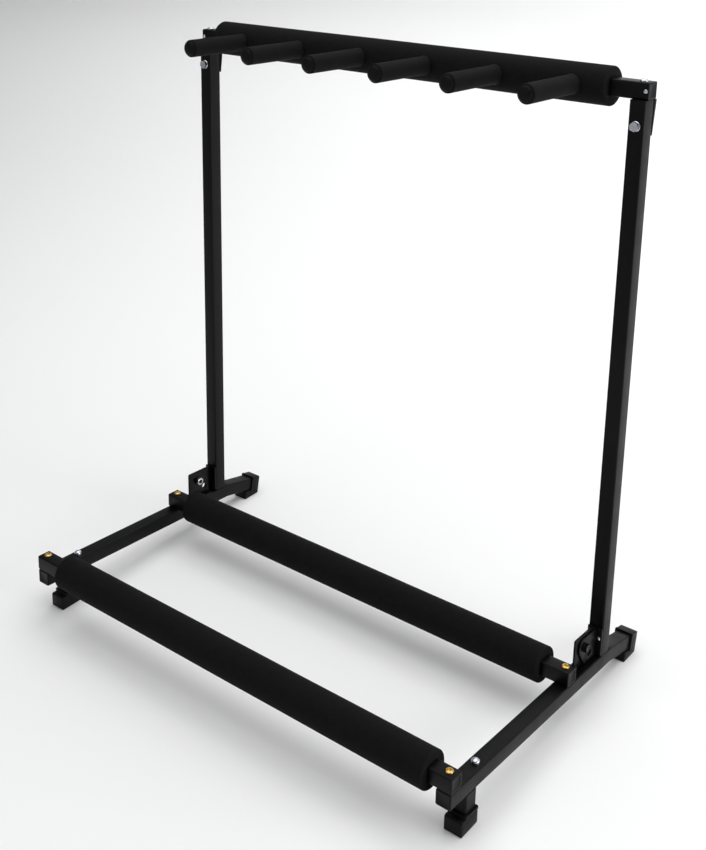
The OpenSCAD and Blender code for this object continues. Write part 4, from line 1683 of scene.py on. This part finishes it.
@dataclass
class Studio:
    """Pale paper sweep, soft boxes and the camera."""

    lens: float = 53.277
    azimuth: float = 39.81
    elevation: float = 19.09
    roll: float = -1.79
    shift: float = -0.22
    spot: tuple[float, float, float] = (0.9655, -1.0766, 1.0653)
    half_width: float = 14.0
    front: float = -7.0
    back: float = 7.0
    bend: float = 2.5
    paper_top: float = 8.0
    bend_steps: int = 12
    overhead: Softbox = Softbox("overhead_box", (0.1, 0.3, 2.8), (3.4, 3.4), 76)
    right: Softbox = Softbox("right_box", (2.6, 0.4, 0.6), (1.8, 1.6), 44)
    fill: Softbox = Softbox("front_fill", (-0.9, -2.6, 1.5), (1.4, 1.4), 6)
    backdrop: Softbox = Softbox("backdrop_box", (0.0, 2.6, 4.2), (7.0, 2.0), 260)
    backdrop_aim: tuple[float, float, float] = (0.0, 7.0, 1.5)
    surround: str = "#f2f3f5"
    surround_strength: float = 0.27

    def sweep(self) -> None:
        """Builds the floor, which curves up far behind the rack."""
        profile = [(self.front, 0.0), (self.back - self.bend, 0.0)]
        for step in range(1, self.bend_steps + 1):
            angle = math.pi / 2 * step / self.bend_steps
            y = self.back - self.bend + self.bend * math.sin(angle)
            profile.append((y, self.bend * (1 - math.cos(angle))))
        profile.append((self.back, self.paper_top))
        mesh = bmesh.new()
        ends = (-self.half_width, self.half_width)
        rows = [[mesh.verts.new((x, y, z)) for x in ends] for y, z in profile]
        for (a, b), (c, d) in zip(rows, rows[1:]):
            mesh.faces.new((a, b, d, c))
        data = bpy.data.meshes.new("paper_sweep")
        mesh.to_mesh(data)
        mesh.free()
        for polygon in data.polygons:
            polygon.use_smooth = True
        data.materials.append(StudioPaper().make())
        sweep = bpy.data.objects.new("paper_sweep", data)
        bpy.context.scene.collection.objects.link(sweep)
        sweep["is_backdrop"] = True

    def lights(self) -> None:
        """Hangs a big box overhead, one on the right, a weak fill in front and one on the backdrop."""
        low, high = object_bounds()
        aim = (low + high) / 2
        self.overhead.hang(aim)
        self.right.hang(aim)
        self.fill.hang(aim)
        self.backdrop.hang(Vector(self.backdrop_aim))
        world = bpy.data.worlds.new("pale_surround")
        world.use_nodes = True
        surround = world.node_tree.nodes["Background"]
        surround.inputs["Color"].default_value = linear(self.surround)
        surround.inputs["Strength"].default_value = self.surround_strength
        bpy.context.scene.world = world
        bpy.context.scene.view_settings.view_transform = "Standard"

    def camera(self) -> None:
        """Places the camera ahead of the rack's right side, above it, with a slight roll."""
        lens = bpy.data.cameras.new("camera")
        lens.sensor_width = 36.0
        lens.lens = self.lens
        lens.shift_y = self.shift
        az, el, ro = (math.radians(a) for a in (self.azimuth, self.elevation, self.roll))
        back = Vector((math.sin(az) * math.cos(el), -math.cos(az) * math.cos(el), math.sin(el)))
        level = Vector((math.cos(az), math.sin(az), 0))
        upward = back.cross(level)
        right = level * math.cos(ro) + upward * math.sin(ro)
        up = upward * math.cos(ro) - level * math.sin(ro)
        turn = Matrix((right, up, back)).transposed()
        camera = bpy.data.objects.new("camera", lens)
        camera.matrix_world = Matrix.Translation(self.spot) @ turn.to_4x4()
        bpy.context.scene.collection.objects.link(camera)
        bpy.context.scene.camera = camera


def main() -> None:
    """Builds the rack's pieces in order, then the studio."""
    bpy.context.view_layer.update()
    bench = Bench()
    finishes = Finishes()
    shop = Workshop(bench, finishes, Repeater())
    rails = SideRails(shop)
    feet = Feet(shop, rails)
    rails.build()
    feet.build()
    LegBolts(shop).build(feet.leg_set())
    Crossbar(shop, "front", Body.BASE, Slot.YELLOW, "front_bar").build()
    Crossbar(shop, "rear", Body.BASE, Slot.YELLOW, "rear_bar").build()
    Crossbar(shop, "top", Body.BACK, Slot.ZINC, "top_bar", screw_y=-2.5, screw_reach=30.0, rivets=True).build()
    Uprights(shop).build()
    Hinges(shop, bench.local(Vector(frame["joints"][0]["pos_m"]) / MM)).build()
    Pegs(shop).build()
    CarriedOver(finishes, frame["nodes"]).dress()
    studio = Studio()
    studio.sweep()
    studio.lights()
    studio.camera()


if __name__ == "__main__":
    logging.basicConfig(level=logging.INFO, format="%(message)s")
    main()
